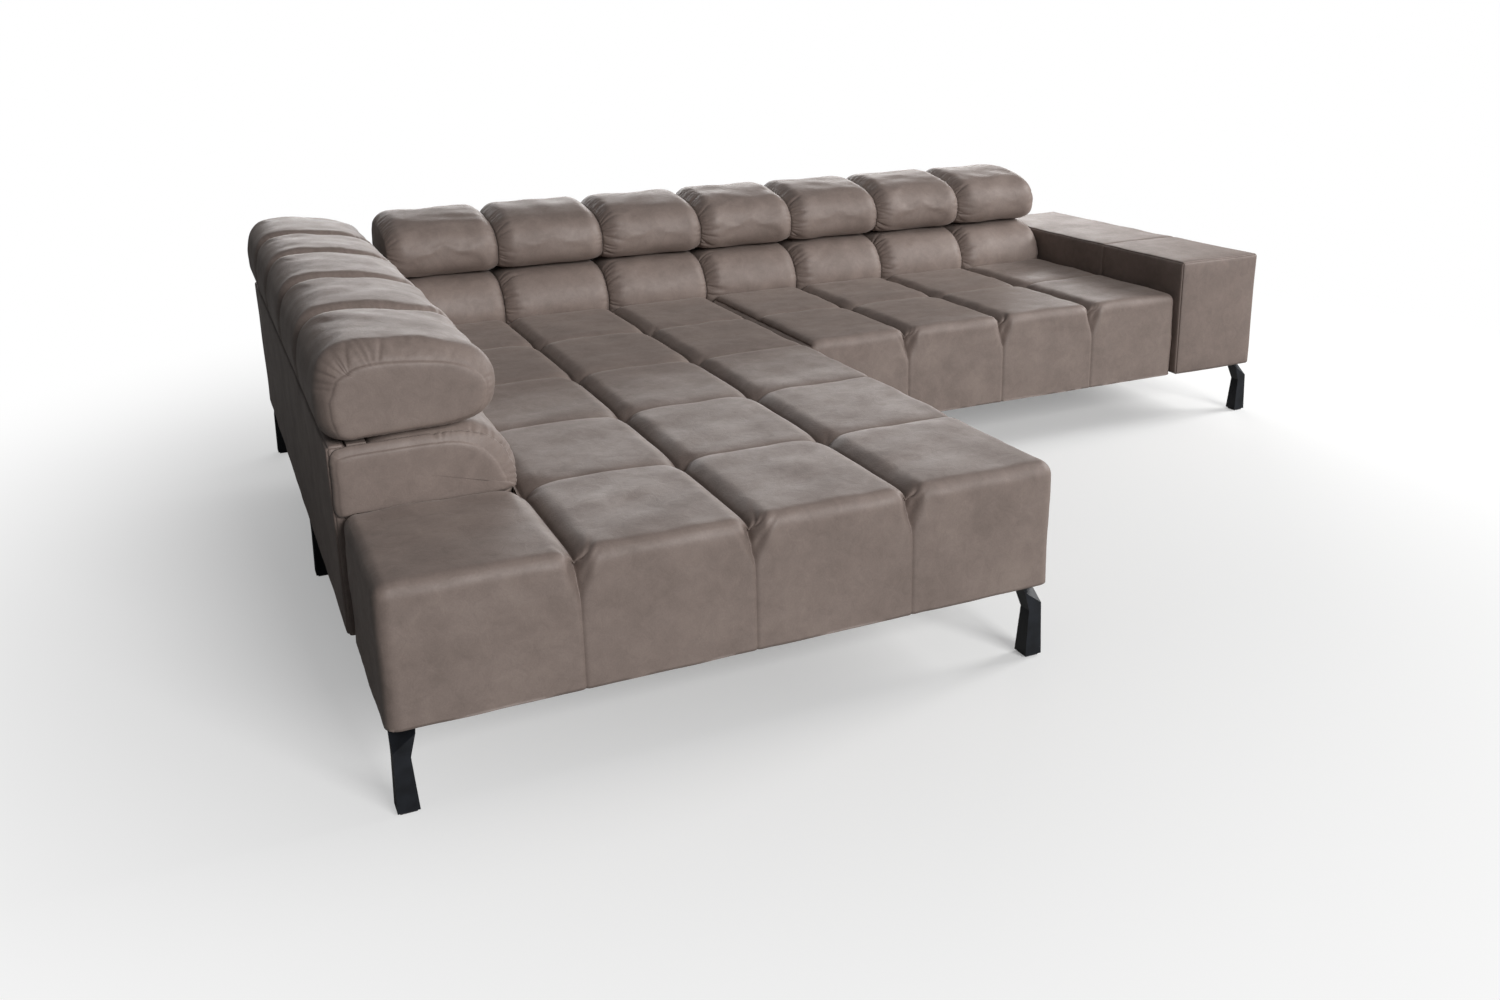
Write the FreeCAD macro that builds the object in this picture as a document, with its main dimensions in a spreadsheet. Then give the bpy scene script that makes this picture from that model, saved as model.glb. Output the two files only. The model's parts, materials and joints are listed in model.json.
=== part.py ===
import FreeCAD, Part
import math
import os
import Sketcher
from FreeCAD import Placement, Rotation, Vector

# Corner sofa with a long seat on the left, a bench on the right, one armrest and twelve
# folding headrests. All lengths are in millimetres.
# Places are worked out from the chaise's outer front corner on the floor, +X to the right
# and +Y to the back, and every piece is then shifted so that the origin lies on the floor
# under the middle of the whole sofa.

DRIVING_SIZES = [
    ("centre_x", 1545.5, "from the chaise's left side to the middle of the sofa"),
    ("centre_y", 1161, "from the chaise's front to the middle of the sofa"),
    ("first_column", 365, "width of the seat column in front of the left back"),
    ("chaise_pitch", 350, "width of the other seat columns of the chaise"),
    ("bench_pitch", 342, "width of the seat columns of the bench"),
    ("row_pitch", 395, "depth of one seat square"),
    ("back_base", 1935, "where the main back's cushions start on the seat"),
    ("back_depth", 365, "thickness of a back at the seat"),
    ("seat_top", 449, "height of the seat's crowns"),
    ("box_bottom", 170, "underside of the upholstered box"),
    ("seat_skin", 28, "padding on the box's sides"),
    ("rail_top", 320, "top of the wooden base frame"),
    ("foam_bottom", 332, "underside of the seat foam"),
    ("rail", 30, "thickness of a wooden rail"),
    ("column_seam", 17, "depth of the sewn channels between columns"),
    ("row_seam", 9, "depth of the sewn creases between rows"),
    ("side_seam", 7, "how far the upright seams draw the front in"),
    ("seat_round", 30, "rounding of the seat's top edge"),
    ("tuck", 13, "how far the seat reaches under the back cushions"),
    ("gap", 1, "half of the gap between neighbouring cushions"),
    ("cushion_top", 585, "top of the lower back cushions"),
    ("cushion_back", 66, "flat back of the lower cushions, from the back's line"),
    ("cushion_foot", 330, "lower edge of the lower cushions, behind the seat"),
    ("end_thick", 20, "thickness of the panel that closes the left back"),
    ("shell_out", 12, "how far the outer panel stands past the back's line"),
    ("shell_in", 28, "inner face of the outer panel"),
    ("shell_top", 579, "top of the outer panel and of its lip"),
    ("lip_bottom", 549, "underside of the lip over the back frame"),
    ("frame_top", 545, "top of the wooden back frame"),
    ("frame_out", 32, "outer face of the wooden back frame"),
    ("rest_out", 22, "how far a headrest stands past the back's line"),
    ("rest_front", 333, "nose of a headrest, from the back's line"),
    ("rest_bottom", 583, "underside of a headrest"),
    ("rest_top", 780, "top of a headrest, the sofa's whole height"),
    ("pivot_out", 25, "headrest pin, from the back's line"),
    ("pivot_up", 630, "headrest pin, above the floor"),
    ("pin_radius", 5, "headrest pin"),
    ("pin_play", 0.05, "radial clearance of the arm on the pin"),
    ("hub_radius", 22, "tips of the ratchet teeth"),
    ("tooth_depth", 3, "depth of the ratchet teeth"),
    ("steel", 5, "thickness of the fitting's arm and bracket"),
    ("plate_half", 110, "half of the steel plate's length in a headrest"),
    ("plate_rear", 95, "rear edge of that plate, from the back's line"),
    ("plate_front", 250, "front edge of that plate and end of its arm"),
    ("plate_low", 648, "underside of that plate"),
    ("slot_half", 9, "half width of the slot for a fitting"),
    ("arm_width", 330, "width of the armrest"),
    ("arm_top", 555, "height of the armrest"),
    ("arm_front", 1172, "front of the armrest"),
    ("arm_skin", 20, "padding of the armrest"),
    ("arm_round", 9, "bevel of the armrest's edges"),
    ("board", 18, "thickness of the armrest's plywood"),
    ("leg_top", 165, "underside of a leg's plate"),
    ("glide", 5, "thickness of a glide"),
    ("leg_foot", 41, "side of a leg at the floor"),
    ("leg_waist", 34, "side of a leg at its kink"),
    ("leg_kink", 112, "height of the kink"),
    ("leg_head", 48, "reach of a leg's top"),
    ("leg_facet", 125, "height of the slanting facet at the outer corner"),
    ("leg_inset", 3, "leg's outer corner from the box's corner"),
    ("post_half", 22, "half side of a square support post"),
]

doc = FreeCAD.newDocument("corner_sofa")
sheet = doc.addObject("Spreadsheet::Sheet", "Sizes")
for line, (alias, number, note) in enumerate(DRIVING_SIZES, start=1):
    sheet.set(f"A{line}", note)
    sheet.set(f"B{line}", str(number))
    sheet.setAlias(f"B{line}", alias)
doc.recompute()


class Length:
    """A length that keeps the sheet expression it comes from."""

    def __init__(self, value, text):
        self.value = float(value)
        self.text = text

    def __float__(self):
        return self.value

    def __add__(self, other):
        other = as_length(other)
        return Length(self.value + other.value, f"({self.text} + {other.text})")

    def __radd__(self, other):
        return as_length(other) + self

    def __sub__(self, other):
        other = as_length(other)
        return Length(self.value - other.value, f"({self.text} - {other.text})")

    def __rsub__(self, other):
        return as_length(other) - self

    def __mul__(self, factor):
        return Length(self.value * factor, f"({self.text} * {factor})")

    def __neg__(self):
        return self * -1


def as_length(item):
    return item if isinstance(item, Length) else Length(item, str(item))


def cell(alias):
    return Length(sheet.get(alias), f"Sizes.{alias}")


centre_x, centre_y = cell("centre_x"), cell("centre_y")
back_depth = cell("back_depth")
rear = cell("back_base") + back_depth
box_bottom, rail, gap = cell("box_bottom"), cell("rail"), cell("gap")
columns = [as_length(0), cell("first_column")]
for _ in range(3):
    columns.append(columns[-1] + cell("chaise_pitch"))
for _ in range(4):
    columns.append(columns[-1] + cell("bench_pitch"))
rows = [cell("row_pitch") * step for step in range(5)] + [cell("back_base")]
chaise_right, bench_right, bench_front = columns[4], columns[8], rows[3]
arm_right = bench_right + cell("arm_width")

nodes = []


def keep(thing, label):
    """Name a finished sub-part and list it for writing."""
    thing.Label = label
    nodes.append(thing)
    return thing


def bind(thing, name, length):
    thing.setExpression(name, as_length(length).text)


def place(thing, x, y, z, frame=True):
    """Put an object at a place; the last step moves it into the sofa's own frame."""
    bind(thing, ".Placement.Base.x", x - centre_x if frame else x)
    bind(thing, ".Placement.Base.y", y - centre_y if frame else y)
    bind(thing, ".Placement.Base.z", z)


def box(low, high, frame=True):
    """A box between two corners."""
    thing = doc.addObject("Part::Box", "block")
    for name, axis in (("Length", 0), ("Width", 1), ("Height", 2)):
        bind(thing, name, high[axis] - low[axis])
    place(thing, as_length(low[0]), as_length(low[1]), as_length(low[2]), frame)
    return thing


def fuse(things):
    joined = doc.addObject("Part::MultiFuse", "joined")
    joined.Shapes = things
    return joined


def cut(base, tool):
    rest = doc.addObject("Part::Cut", "cut")
    rest.Base = base
    rest.Tool = tool
    return rest


def group(things):
    together = doc.addObject("Part::Compound", "group")
    together.Links = things
    return together


def fixed_shape(shape, label):
    """A form that only Part's own functions make, shifted into the sofa's frame."""
    thing = doc.addObject("Part::Feature", label)
    thing.Shape = shape
    thing.Placement = Placement(Vector(-float(centre_x), -float(centre_y), 0), Rotation())
    return keep(thing, label)


def plane_of(body, role):
    return [plane for plane in body.Origin.OriginFeatures if plane.Role == role][0]


def outline(body, role, points, base=None):
    """A closed polygon sketch whose corners are all held by sheet expressions."""
    sketch = body.newObject("Sketcher::SketchObject", "outline")
    sketch.AttachmentSupport = [(plane_of(body, role), "")]
    sketch.MapMode = "FlatFace"
    if base is not None:
        bind(sketch, ".AttachmentOffset.Base.z", base)
    corners = [(as_length(a), as_length(b)) for a, b in points]
    spots = [Vector(float(a), float(b), 0) for a, b in corners]
    count = len(spots)
    for index in range(count):
        sketch.addGeometry(Part.LineSegment(spots[index], spots[(index + 1) % count]), False)
    for index, (a, b) in enumerate(corners):
        sketch.addConstraint(Sketcher.Constraint("Coincident", index, 2, (index + 1) % count, 1))
        for kind, length in (("DistanceX", a), ("DistanceY", b)):
            number = sketch.addConstraint(
                Sketcher.Constraint(kind, -1, 1, index, 1, float(length)))
            if "Sizes" in length.text:
                sketch.setExpression(f"Constraints[{number}]", length.text)
    return sketch


def padded(body, sketch, depth, reverse=False):
    pad = body.newObject("PartDesign::Pad", "pad")
    pad.Profile = sketch
    bind(pad, "Length", depth)
    pad.Reversed = reverse
    doc.recompute()
    return pad


def pocketed(body, sketch, depth, reverse):
    pocket = body.newObject("PartDesign::Pocket", "pocket")
    pocket.Profile = sketch
    pocket.Type = 0
    bind(pocket, "Length", depth)
    pocket.Reversed = reverse
    doc.recompute()
    return pocket


# Soft forms

def arc(first, middle, last):
    return Part.Arc(first, middle, last).toShape()


def straight(first, last):
    return Part.LineSegment(first, last).toShape()


def polygon(points):
    """Edges of the closed outline through points."""
    return [straight(one, two) for one, two in zip(points, points[1:] + points[:1])]


def solid_from(edges, sweep):
    return Part.Face(Part.Wire(edges)).extrude(sweep)


def crowned_edges(lines, level, dip, floor_level, round_edge, spot):
    """Edges of a closed section whose upper side has one shallow arch per square.

    lines are the seams' places, level is the crowns' height, dip the seams' depth, and
    spot turns (place, height) into a point.
    """
    first, last = lines[0], lines[-1]
    bevel = 0.3 * round_edge
    edges = [straight(spot(first, floor_level), spot(first, level - round_edge)),
             straight(spot(first, level - round_edge), spot(first + bevel, level - bevel)),
             straight(spot(first + bevel, level - bevel), spot(first + round_edge, level))]
    start = first + round_edge
    start_level = level
    for index, seam in enumerate(lines[1:], start=1):
        at_end = index == len(lines) - 1
        stop = seam - round_edge if at_end else seam
        stop_level = level if at_end else level - dip
        middle = 0.5 * (lines[index - 1] + seam)
        crown = level + 0.2 * dip
        edges.append(arc(spot(start, start_level), spot(middle, crown), spot(stop, stop_level)))
        start, start_level = stop, stop_level
    edges.append(straight(spot(last - round_edge, level), spot(last - bevel, level - bevel)))
    edges.append(straight(spot(last - bevel, level - bevel), spot(last, level - round_edge)))
    edges.append(straight(spot(last, level - round_edge), spot(last, floor_level)))
    edges.append(straight(spot(last, floor_level), spot(first, floor_level)))
    return edges


def tufted_seat(across, along, right_side, low):
    """A seat block with a sewn square for each column and row.

    It is what three extruded sections share: one seen from the front, one from the side
    and one from above.
    """
    top, round_edge = float(cell("seat_top")), float(cell("seat_round"))
    far, near = 3000.0, -100.0
    crown = 0.2 * float(cell("column_seam"))
    from_front = crowned_edges(across, top - crown, float(cell("column_seam")), low, round_edge,
                               lambda place, height: Vector(place, near, height))
    from_side = crowned_edges(along, top - crown, float(cell("row_seam")), low, round_edge,
                              lambda place, height: Vector(near, place, height))
    bulge = 0.2 * float(cell("side_seam"))
    front = along[0]
    from_above = crowned_edges(across, -front - bulge, float(cell("side_seam")), -along[-1],
                               0.8 * round_edge,
                               lambda place, height: Vector(place, -height, near))
    block = solid_from(from_front, Vector(0, far, 0))
    block = block.common(solid_from(from_side, Vector(right_side + far, 0, 0)))
    return block.common(solid_from(from_above, Vector(0, 0, far)))


def plain_box(x_low, x_high, y_low, y_high, z_low, z_high):
    return Part.makeBox(x_high - x_low, y_high - y_low, z_high - z_low,
                        Vector(x_low, y_low, z_low))


def seat_cushions():
    """The two seat blocks: padding over the wooden boxes, open underneath."""
    low, skin, slack = float(box_bottom), float(cell("seat_skin")), float(gap)
    foam_bottom, top = float(cell("foam_bottom")), float(cell("seat_top"))
    tuck = float(back_depth - cell("tuck"))
    seat_end = float(rows[5] + cell("tuck"))
    along = [float(row) for row in rows[:5]] + [seat_end]
    across = [float(column) for column in columns[:4]] + [float(chaise_right) - slack]
    chaise = tufted_seat(across, along, across[-1], low)
    chaise = chaise.cut(plain_box(-50, tuck, float(rows[1]) - 2, seat_end + 50, 0, top + 50))
    chaise = chaise.cut(plain_box(skin, across[-1] - skin, skin, seat_end + 50,
                                  low - 1, foam_bottom))
    fixed_shape(chaise, "chaise_seat_cushion")
    across = [float(chaise_right) + slack] + [float(column) for column in columns[5:8]]
    across.append(float(bench_right) - slack)
    along = [float(bench_front), float(rows[4]), seat_end]
    bench = tufted_seat(across, along, across[-1], low)
    bench = bench.cut(plain_box(across[0] + skin, across[-1] - skin,
                                float(bench_front) + skin, seat_end + 50, low - 1, foam_bottom))
    fixed_shape(bench, "bench_seat_cushion")


def left_row(depth, along, height):
    """A point of the left back: depth is measured inwards from its outer line."""
    return Vector(depth, along, height)


def main_row(depth, along, height):
    """A point of the main back: depth is measured forwards from its rear line."""
    return Vector(along, float(rear) - depth, height)


def lower_section(row, along):
    """Edges of a lower back cushion's section."""
    back, foot = float(cell("cushion_back")), float(cell("cushion_foot"))
    front, top = float(back_depth), float(cell("cushion_top")) - 4
    foot_front = front - float(cell("tuck")) - 4

    def at(depth, height):
        return row(depth, along, height)

    return [
        straight(at(back, foot), at(back, top - 8)),
        straight(at(back, top - 8), at(160, top + 4)),
        straight(at(160, top + 4), at(262, top - 8)),
        arc(at(262, top - 8), at(front - 45, top - 25), at(front - 14, top - 62)),
        arc(at(front - 14, top - 62), at(front, top - 105), at(foot_front, top - 140)),
        straight(at(foot_front, top - 140), at(foot_front, foot)),
        straight(at(foot_front, foot), at(back, foot))]


def rest_section(row, along):
    """Edges of a headrest's section.

    The lower rear corner is an arc about the pin, so the headrest can fold up without
    touching the back below it.
    """
    pin_out, pin_up = float(cell("pivot_out")), float(cell("pivot_up"))
    low, top = float(cell("rest_bottom")), float(cell("rest_top"))
    outside, nose = -float(cell("rest_out")), float(cell("rest_front"))
    slant = math.sqrt(0.5) * (pin_up - low)

    def at(depth, height):
        return row(depth, along, height)

    return [
        straight(at(pin_out, low), at(200, low + 7)),
        straight(at(200, low + 7), at(264, low + 18)),
        straight(at(264, low + 18), at(nose - 34, low + 43)),
        arc(at(nose - 34, low + 43), at(nose, 662), at(nose - 22, top - 70)),
        arc(at(nose - 22, top - 70), at(nose - 58, top - 37), at(215, top - 20)),
        straight(at(215, top - 20), at(130, top - 3)),
        straight(at(130, top - 3), at(outside + 62, top - 4)),
        arc(at(outside + 62, top - 4), at(outside + 18, top - 36), at(outside, top - 88)),
        straight(at(outside, top - 88), at(outside, pin_up)),
        arc(at(outside, pin_up), at(pin_out - slant, pin_up - slant), at(pin_out, low))]


def drawn_in(start, stop, low, high, drop, shoulder, spot, steps):
    """Edges of a closed section whose high side falls to both sewn ends in 1 or 2 steps.

    spot turns (place along the row, level) into a point.
    """
    turn = (0, 0.35 * shoulder, shoulder) if steps == 2 else (0, shoulder)
    fall = (drop, 0.28 * drop, 0) if steps == 2 else (drop, 0)
    near = [(start + along, high - down) for along, down in zip(turn, fall)]
    far = [(stop - along, high - down) for along, down in zip(turn, fall)]
    corners = [(start, low)] + near + far[::-1] + [(stop, low)]
    return polygon([spot(place, level) for place, level in corners])


def stuffed(section, row, start, stop, top, front, outside=None):
    """A cushion that is full in its middle and drawn in at both sewn ends.

    It is what its side section shares with a section seen from the front and one seen
    from above. outside is given where the rear side is drawn in too.
    """
    along = row(0, stop, 0) - row(0, start, 0)
    deep = row(1000, start, 0) - row(0, start, 0)
    body = solid_from(section(row, start), along)
    from_front = drawn_in(start, stop, 0, top, 40, 70,
                          lambda place, height: row(-100, place, height),
                          1 if outside is None else 2)
    body = body.common(solid_from(from_front, deep))
    from_above = drawn_in(start, stop, -200, front, 18, 45,
                          lambda place, depth: row(depth, place, 0), 1)
    body = body.common(solid_from(from_above, Vector(0, 0, 1000)))
    if outside is not None:
        from_behind = drawn_in(start, stop, -500, -outside, 14, 45,
                               lambda place, depth: row(-depth, place, 0), 1)
        body = body.common(solid_from(from_behind, Vector(0, 0, 1000)))
    return body


def row_box(row, depth, along, height):
    """A box given by ranges of depth, place along the row and height."""
    first = row(depth[0], along[0], height[0])
    second = row(depth[1], along[1], height[1])
    return plain_box(min(first.x, second.x), max(first.x, second.x),
                     min(first.y, second.y), max(first.y, second.y), height[0], height[1])


end_panel_room = float(cell("end_thick") + gap * 2)
left_seams = [float(row) for row in rows[1:]] + [float(rear + cell("rest_out") - gap)]
main_seams = [float(column) for column in columns[1:]]
rest_places = [(f"left_{index + 1}", left_row, left_seams[index], left_seams[index + 1])
               for index in range(4)]
rest_places.append(("corner", left_row, left_seams[4], left_seams[5]))
rest_places += [(f"main_{index + 1}", main_row, main_seams[index], main_seams[index + 1])
                for index in range(7)]


def lower_cushions():
    """The fixed cushions of both backs, and the block that fills the corner."""
    slack = float(gap)
    top, front = float(cell("cushion_top")), float(back_depth)
    for name, row, start, stop in rest_places:
        if name == "corner":
            continue
        first = start + (end_panel_room if name == "left_1" else slack)
        soft = stuffed(lower_section, row, first, stop - slack, top, front)
        fixed_shape(soft, f"{name}_back_cushion")
    clear = float(cell("tuck") + gap * 2)
    back, front = float(cell("cushion_back")), float(back_depth) - clear
    corner = plain_box(back, front, float(rows[5]) + clear, float(rear) - back,
                       float(cell("cushion_foot")), float(cell("cushion_top")) - 8)
    fixed_shape(corner, "corner_back_cushion")


def arm_outline():
    """Plate of the moving arm, seen along the row: hub, ratchet teeth and a long lever."""
    pin_out, pin_up = float(cell("pivot_out")), float(cell("pivot_up"))
    tip = float(cell("hub_radius"))
    root = tip - float(cell("tooth_depth"))
    lever_end, lever_low = float(cell("plate_front")), float(cell("plate_low")) - 4
    teeth, pitch = 6, math.radians(12)
    first = math.radians(-87)
    points = []
    for tooth in range(teeth):
        angle = first - tooth * pitch
        points.append((pin_out + root * math.cos(angle), pin_up + root * math.sin(angle)))
        points.append((pin_out + tip * math.cos(angle), pin_up + tip * math.sin(angle)))
    angle = first - teeth * pitch
    points.append((pin_out + root * math.cos(angle), pin_up + root * math.sin(angle)))
    points += [(pin_out - root, pin_up), (pin_out - 12, pin_up + 15), (pin_out, pin_up + root),
               (pin_out + 40, pin_up + 30), (lever_end, lever_low + 16), (lever_end, lever_low),
               (pin_out + 60, pin_up + 6), (pin_out + 18, pin_up - 10)]
    return points


def fitting_arm(row, along):
    """The moving half of one ratchet fitting."""
    thick = float(cell("steel"))
    near = along + 0.5
    points = [row(depth, near, height) for depth, height in arm_outline()]
    sweep = row(0, near + thick, 0) - row(0, near, 0)
    plate = solid_from(polygon(points), sweep)
    pin_spot = row(float(cell("pivot_out")), near - 1, float(cell("pivot_up")))
    axis = row(0, near + 1, 0) - row(0, near, 0)
    bore = Part.makeCylinder(float(cell("pin_radius")) + float(cell("pin_play")), thick + 2,
                             pin_spot, axis)
    return plate.cut(bore)


def headrests():
    """Twelve stuffed headrests, each over a welded steel plate with a ratchet arm."""
    slack, half, thick = float(gap), float(cell("slot_half")), float(cell("steel"))
    reach, low = float(cell("plate_half")), float(cell("plate_low"))
    plate_depth = (float(cell("plate_rear")), float(cell("plate_front")))
    arm_room = (float(cell("pivot_out")) + 5, plate_depth[1])
    top, front = float(cell("rest_top")), float(cell("rest_front"))
    outside = -float(cell("rest_out"))
    for name, row, start, stop in rest_places:
        middle = 0.5 * (start + stop)
        plate = row_box(row, plate_depth, (middle - reach, middle + reach), (low, low + thick))
        steel_frame = plate.fuse(fitting_arm(row, middle))
        pad = stuffed(rest_section, row, start + slack, stop - slack, top, front, outside)
        pad = pad.cut(plate)
        pad = pad.cut(row_box(row, (-60, 47), (middle - half, middle + half), (560, low + 4)))
        pad = pad.cut(row_box(row, arm_room, (middle + 0.5, middle + 0.5 + thick),
                              (low - 30, low + 15)))
        fixed_shape(pad, f"{name}_headrest")
        fixed_shape(steel_frame.removeSplitter(), f"{name}_headrest_frame")


def ratchet_fittings():
    """The fixed halves: bent brackets, each with its pawl and its riveted pin."""
    pin_out, pin_up = float(cell("pivot_out")), float(cell("pivot_up"))
    thick, radius = float(cell("steel")), float(cell("pin_radius"))
    board = float(cell("frame_out")) + float(rail)
    face = float(cell("cushion_back"))
    brackets = []
    low = 470
    web = [(pin_out - 12, pin_up + 3), (pin_out - 10, 604), (46, 551), (board, 547),
           (board, low), (face, low), (face, 553), (53, 566), (pin_out + 12, 600),
           (pin_out + 12, pin_up + 3), (pin_out, pin_up + 14)]
    pawl_outline = [(20, 586), (34, 586), (30, 603), (pin_out, 607.4), (22, 603)]
    for name, row, start, stop in rest_places:
        near = 0.5 * (start + stop) - 0.5 - thick
        axis = row(0, 1, 0) - row(0, 0, 0)
        bracket = solid_from(polygon([row(depth, near, height) for depth, height in web]),
                             axis * thick)
        flange = row_box(row, (board, face), (near, near + 42), (low, float(cell("frame_top"))))
        pawl = solid_from(polygon([row(depth, near + thick - 1, height)
                                   for depth, height in pawl_outline]), axis * (thick + 2))
        pin = Part.makeCylinder(radius, thick + 3, row(pin_out, near + thick, pin_up), axis)
        brackets.append(bracket.fuse([flange, pawl, pin]).removeSplitter())
    fixed_shape(Part.makeCompound(brackets), "ratchet_brackets")


def end_panel():
    """The padded panel that closes the left back towards the front."""
    draw, front, thick = 12, float(rows[1]), float(cell("end_thick"))
    line = float(cell("seat_top")) + 1
    sections = []
    for along, inset in ((front, draw), (front + 0.5 * thick, 0), (front + thick, 0)):
        outside = -float(cell("shell_out")) + 3 + inset
        top = float(cell("cushion_top")) - 10 - inset
        nose = float(back_depth) - 4 - inset
        corners = [(outside, line), (outside, top - 20), (outside + 6, top - 6), (outside + 20, top),
                   (nose - 95, top - 3), (nose - 60, top - 12), (nose - 30, top - 30),
                   (nose - 12, top - 60), (nose, top - 95), (nose - 3, line)]
        sections.append(Part.Wire(polygon([Vector(depth, along, height)
                                           for depth, height in corners])))
    fixed_shape(Part.makeLoft(sections, True, True), "left_back_end_panel")


# Shells over the backs

def back_shell(label, row, panel_span, lip_span, fittings):
    """An outer panel with a lip over the back frame, slotted for the brackets."""
    panel_start, stop = panel_span
    out, inside = -float(cell("shell_out")), float(cell("shell_in"))
    face, low = float(cell("cushion_back")), float(box_bottom)
    top, lip = float(cell("shell_top")), float(cell("lip_bottom"))
    bend = 16

    def at(depth, height):
        return row(depth, panel_start, height)

    turn = (1 - math.sqrt(0.5)) * bend
    sweep = row(0, stop, 0) - row(0, panel_start, 0)
    panel = solid_from([
        straight(at(out, low), at(out, top - bend)),
        arc(at(out, top - bend), at(out + turn, top - turn), at(out + bend, top)),
        straight(at(out + bend, top), at(inside, top)),
        straight(at(inside, top), at(inside, low)),
        straight(at(inside, low), at(out, low))], sweep)
    shell = panel.fuse(row_box(row, (inside, face), lip_span, (lip, top)))
    thick = float(cell("steel"))
    for along in fittings:
        shell = shell.cut(row_box(row, (inside, face + 5),
                                  (along - thick - 2, along + 1), (lip - 5, top + 5)))
    fixed_shape(shell.removeSplitter(), label)


def back_shells():
    left_fittings, main_fittings = [], []
    for name, row, start, stop in rest_places:
        chosen = left_fittings if row is left_row else main_fittings
        chosen.append(0.5 * (start + stop))
    rear_line, inside = float(rear), float(cell("shell_in"))
    first, last = float(rows[1]) + end_panel_room, float(bench_right)
    back_shell("left_back_shell", left_row, (first, rear_line + float(cell("shell_out"))),
               (first, rear_line - inside - 2), left_fittings)
    back_shell("main_back_shell", main_row, (inside + 2, last),
               (float(cell("cushion_back")) + 2, last), main_fittings)


# Wooden frames

def base_frame(label, x_low, x_high, y_low, y_high, rails_x, rails_y):
    """A rectangular box of rails with raised cross rails."""
    top = cell("rail_top")
    outer = box((x_low, y_low, box_bottom), (x_high, y_high, top))
    inner = box((x_low + rail, y_low + rail, box_bottom - 5),
                (x_high - rail, y_high - rail, top + 5))
    ring = cut(outer, inner)
    raised = box_bottom + 60
    cross = [box((x, y_low + 5, raised), (x + rail, y_high - 5, top)) for x in rails_x]
    cross += [box((x_low + 5, y, raised), (x_high - 5, y + rail, top)) for y in rails_y]
    keep(fuse([ring] + cross), label)


def base_frames():
    inset = cell("seat_skin") + 2
    base_frame("chaise_base_frame", inset, chaise_right - inset, inset,
               rear - inset, [chaise_right * 0.5], [rows[2], rows[4] + 120])
    base_frame("bench_base_frame", chaise_right + inset, bench_right - inset,
               bench_front + inset, rear - inset, [columns[6] - rail * 0.5], [rows[4] + 120])


def back_frame(label, role, corner, low, high, windows, reverse):
    """An upright board with sawn windows, standing on the base frame."""
    body = doc.addObject("PartDesign::Body", label)
    bottom, top = cell("rail_top"), cell("frame_top")
    stile, sill, head = 45, 50, 85
    board = outline(body, role, [(low, bottom), (high, bottom), (high, top), (low, top)])
    pad = padded(body, board, rail, reverse)
    whole = pad.Shape.Volume
    span = (high - low) * (1 / windows)
    for index in range(windows):
        first = low + span * index + stile
        last = low + span * (index + 1) - stile
        window = outline(body, role, [(first, bottom + sill), (last, bottom + sill),
                                      (last, top - head), (first, top - head)])
        pocketed(body, window, rail, not reverse)
    if body.Shape.Volume > 0.8 * whole:
        raise RuntimeError(f"{label}: the windows cut nothing")
    place(body, corner[0], corner[1], as_length(0))
    keep(body, label)


def back_frames():
    out, zero = cell("frame_out"), as_length(0)
    back_frame("left_back_frame", "YZ_Plane", (out, zero), rows[1] + 45, rear - 68, 5, False)
    back_frame("main_back_frame", "XZ_Plane", (zero, rear - out), out, bench_right - 20, 7, False)


def armrest():
    """A boarded wooden box inside a padded cover with soft edges."""
    skin, front = cell("arm_skin"), cell("arm_front")
    left, back = bench_right + gap * 2, rear + cell("shell_out")
    body = doc.addObject("PartDesign::Body", "armrest_cover")
    plan = outline(body, "XY_Plane", [(left, front), (arm_right, front), (arm_right, back),
                                      (left, back)], cell("leg_top"))
    pad = padded(body, plan, cell("arm_top") - cell("leg_top"))
    low = float(cell("leg_top")) + 1
    soft = [f"Edge{index}" for index, edge in enumerate(pad.Shape.Edges, start=1)
            if edge.BoundBox.ZMax > low]
    chamfer = body.newObject("PartDesign::Chamfer", "soft_edges")
    chamfer.Base = (pad, soft)
    bind(chamfer, "Size", cell("arm_round"))
    doc.recompute()
    hollow = outline(body, "XY_Plane", [(left + skin, front + skin), (arm_right - skin, front + skin),
                                        (arm_right - skin, back - skin), (left + skin, back - skin)],
                     cell("leg_top"))
    whole = body.Shape.Volume
    pocketed(body, hollow, cell("arm_top") - cell("leg_top") - skin, True)
    if body.Shape.Volume > 0.5 * whole:
        raise RuntimeError("the armrest's hollow cuts nothing")
    place(body, as_length(0), as_length(0), as_length(0))
    keep(body, "armrest_cover")
    board = cell("board")
    inside = skin + gap * 2
    outer = box((left + inside, front + inside, box_bottom),
                (arm_right - inside, back - inside, cell("arm_top") - inside))
    room = box((left + inside + board, front + inside + board, box_bottom - 5),
               (arm_right - inside - board, back - inside - board,
                cell("arm_top") - inside - board))
    keep(cut(outer, room), "armrest_frame")


# Springs and covers under the seats

def zigzag_spring(along_x, y_low, y_high, level):
    """One sinuous spring: a wire bent to and fro, lying across two rails."""
    wire, swing, steps = 4.0, 24.0, 6
    pitch = (y_high - y_low) / steps
    side = [Vector(along_x + (swing if index % 2 else -swing), y_low + pitch * index, level)
            for index in range(steps + 1)]
    shift = Vector(1.2 * wire, 0, 0)
    points = side + [spot + shift for spot in reversed(side)]
    return solid_from(polygon(points), Vector(0, 0, wire))


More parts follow.
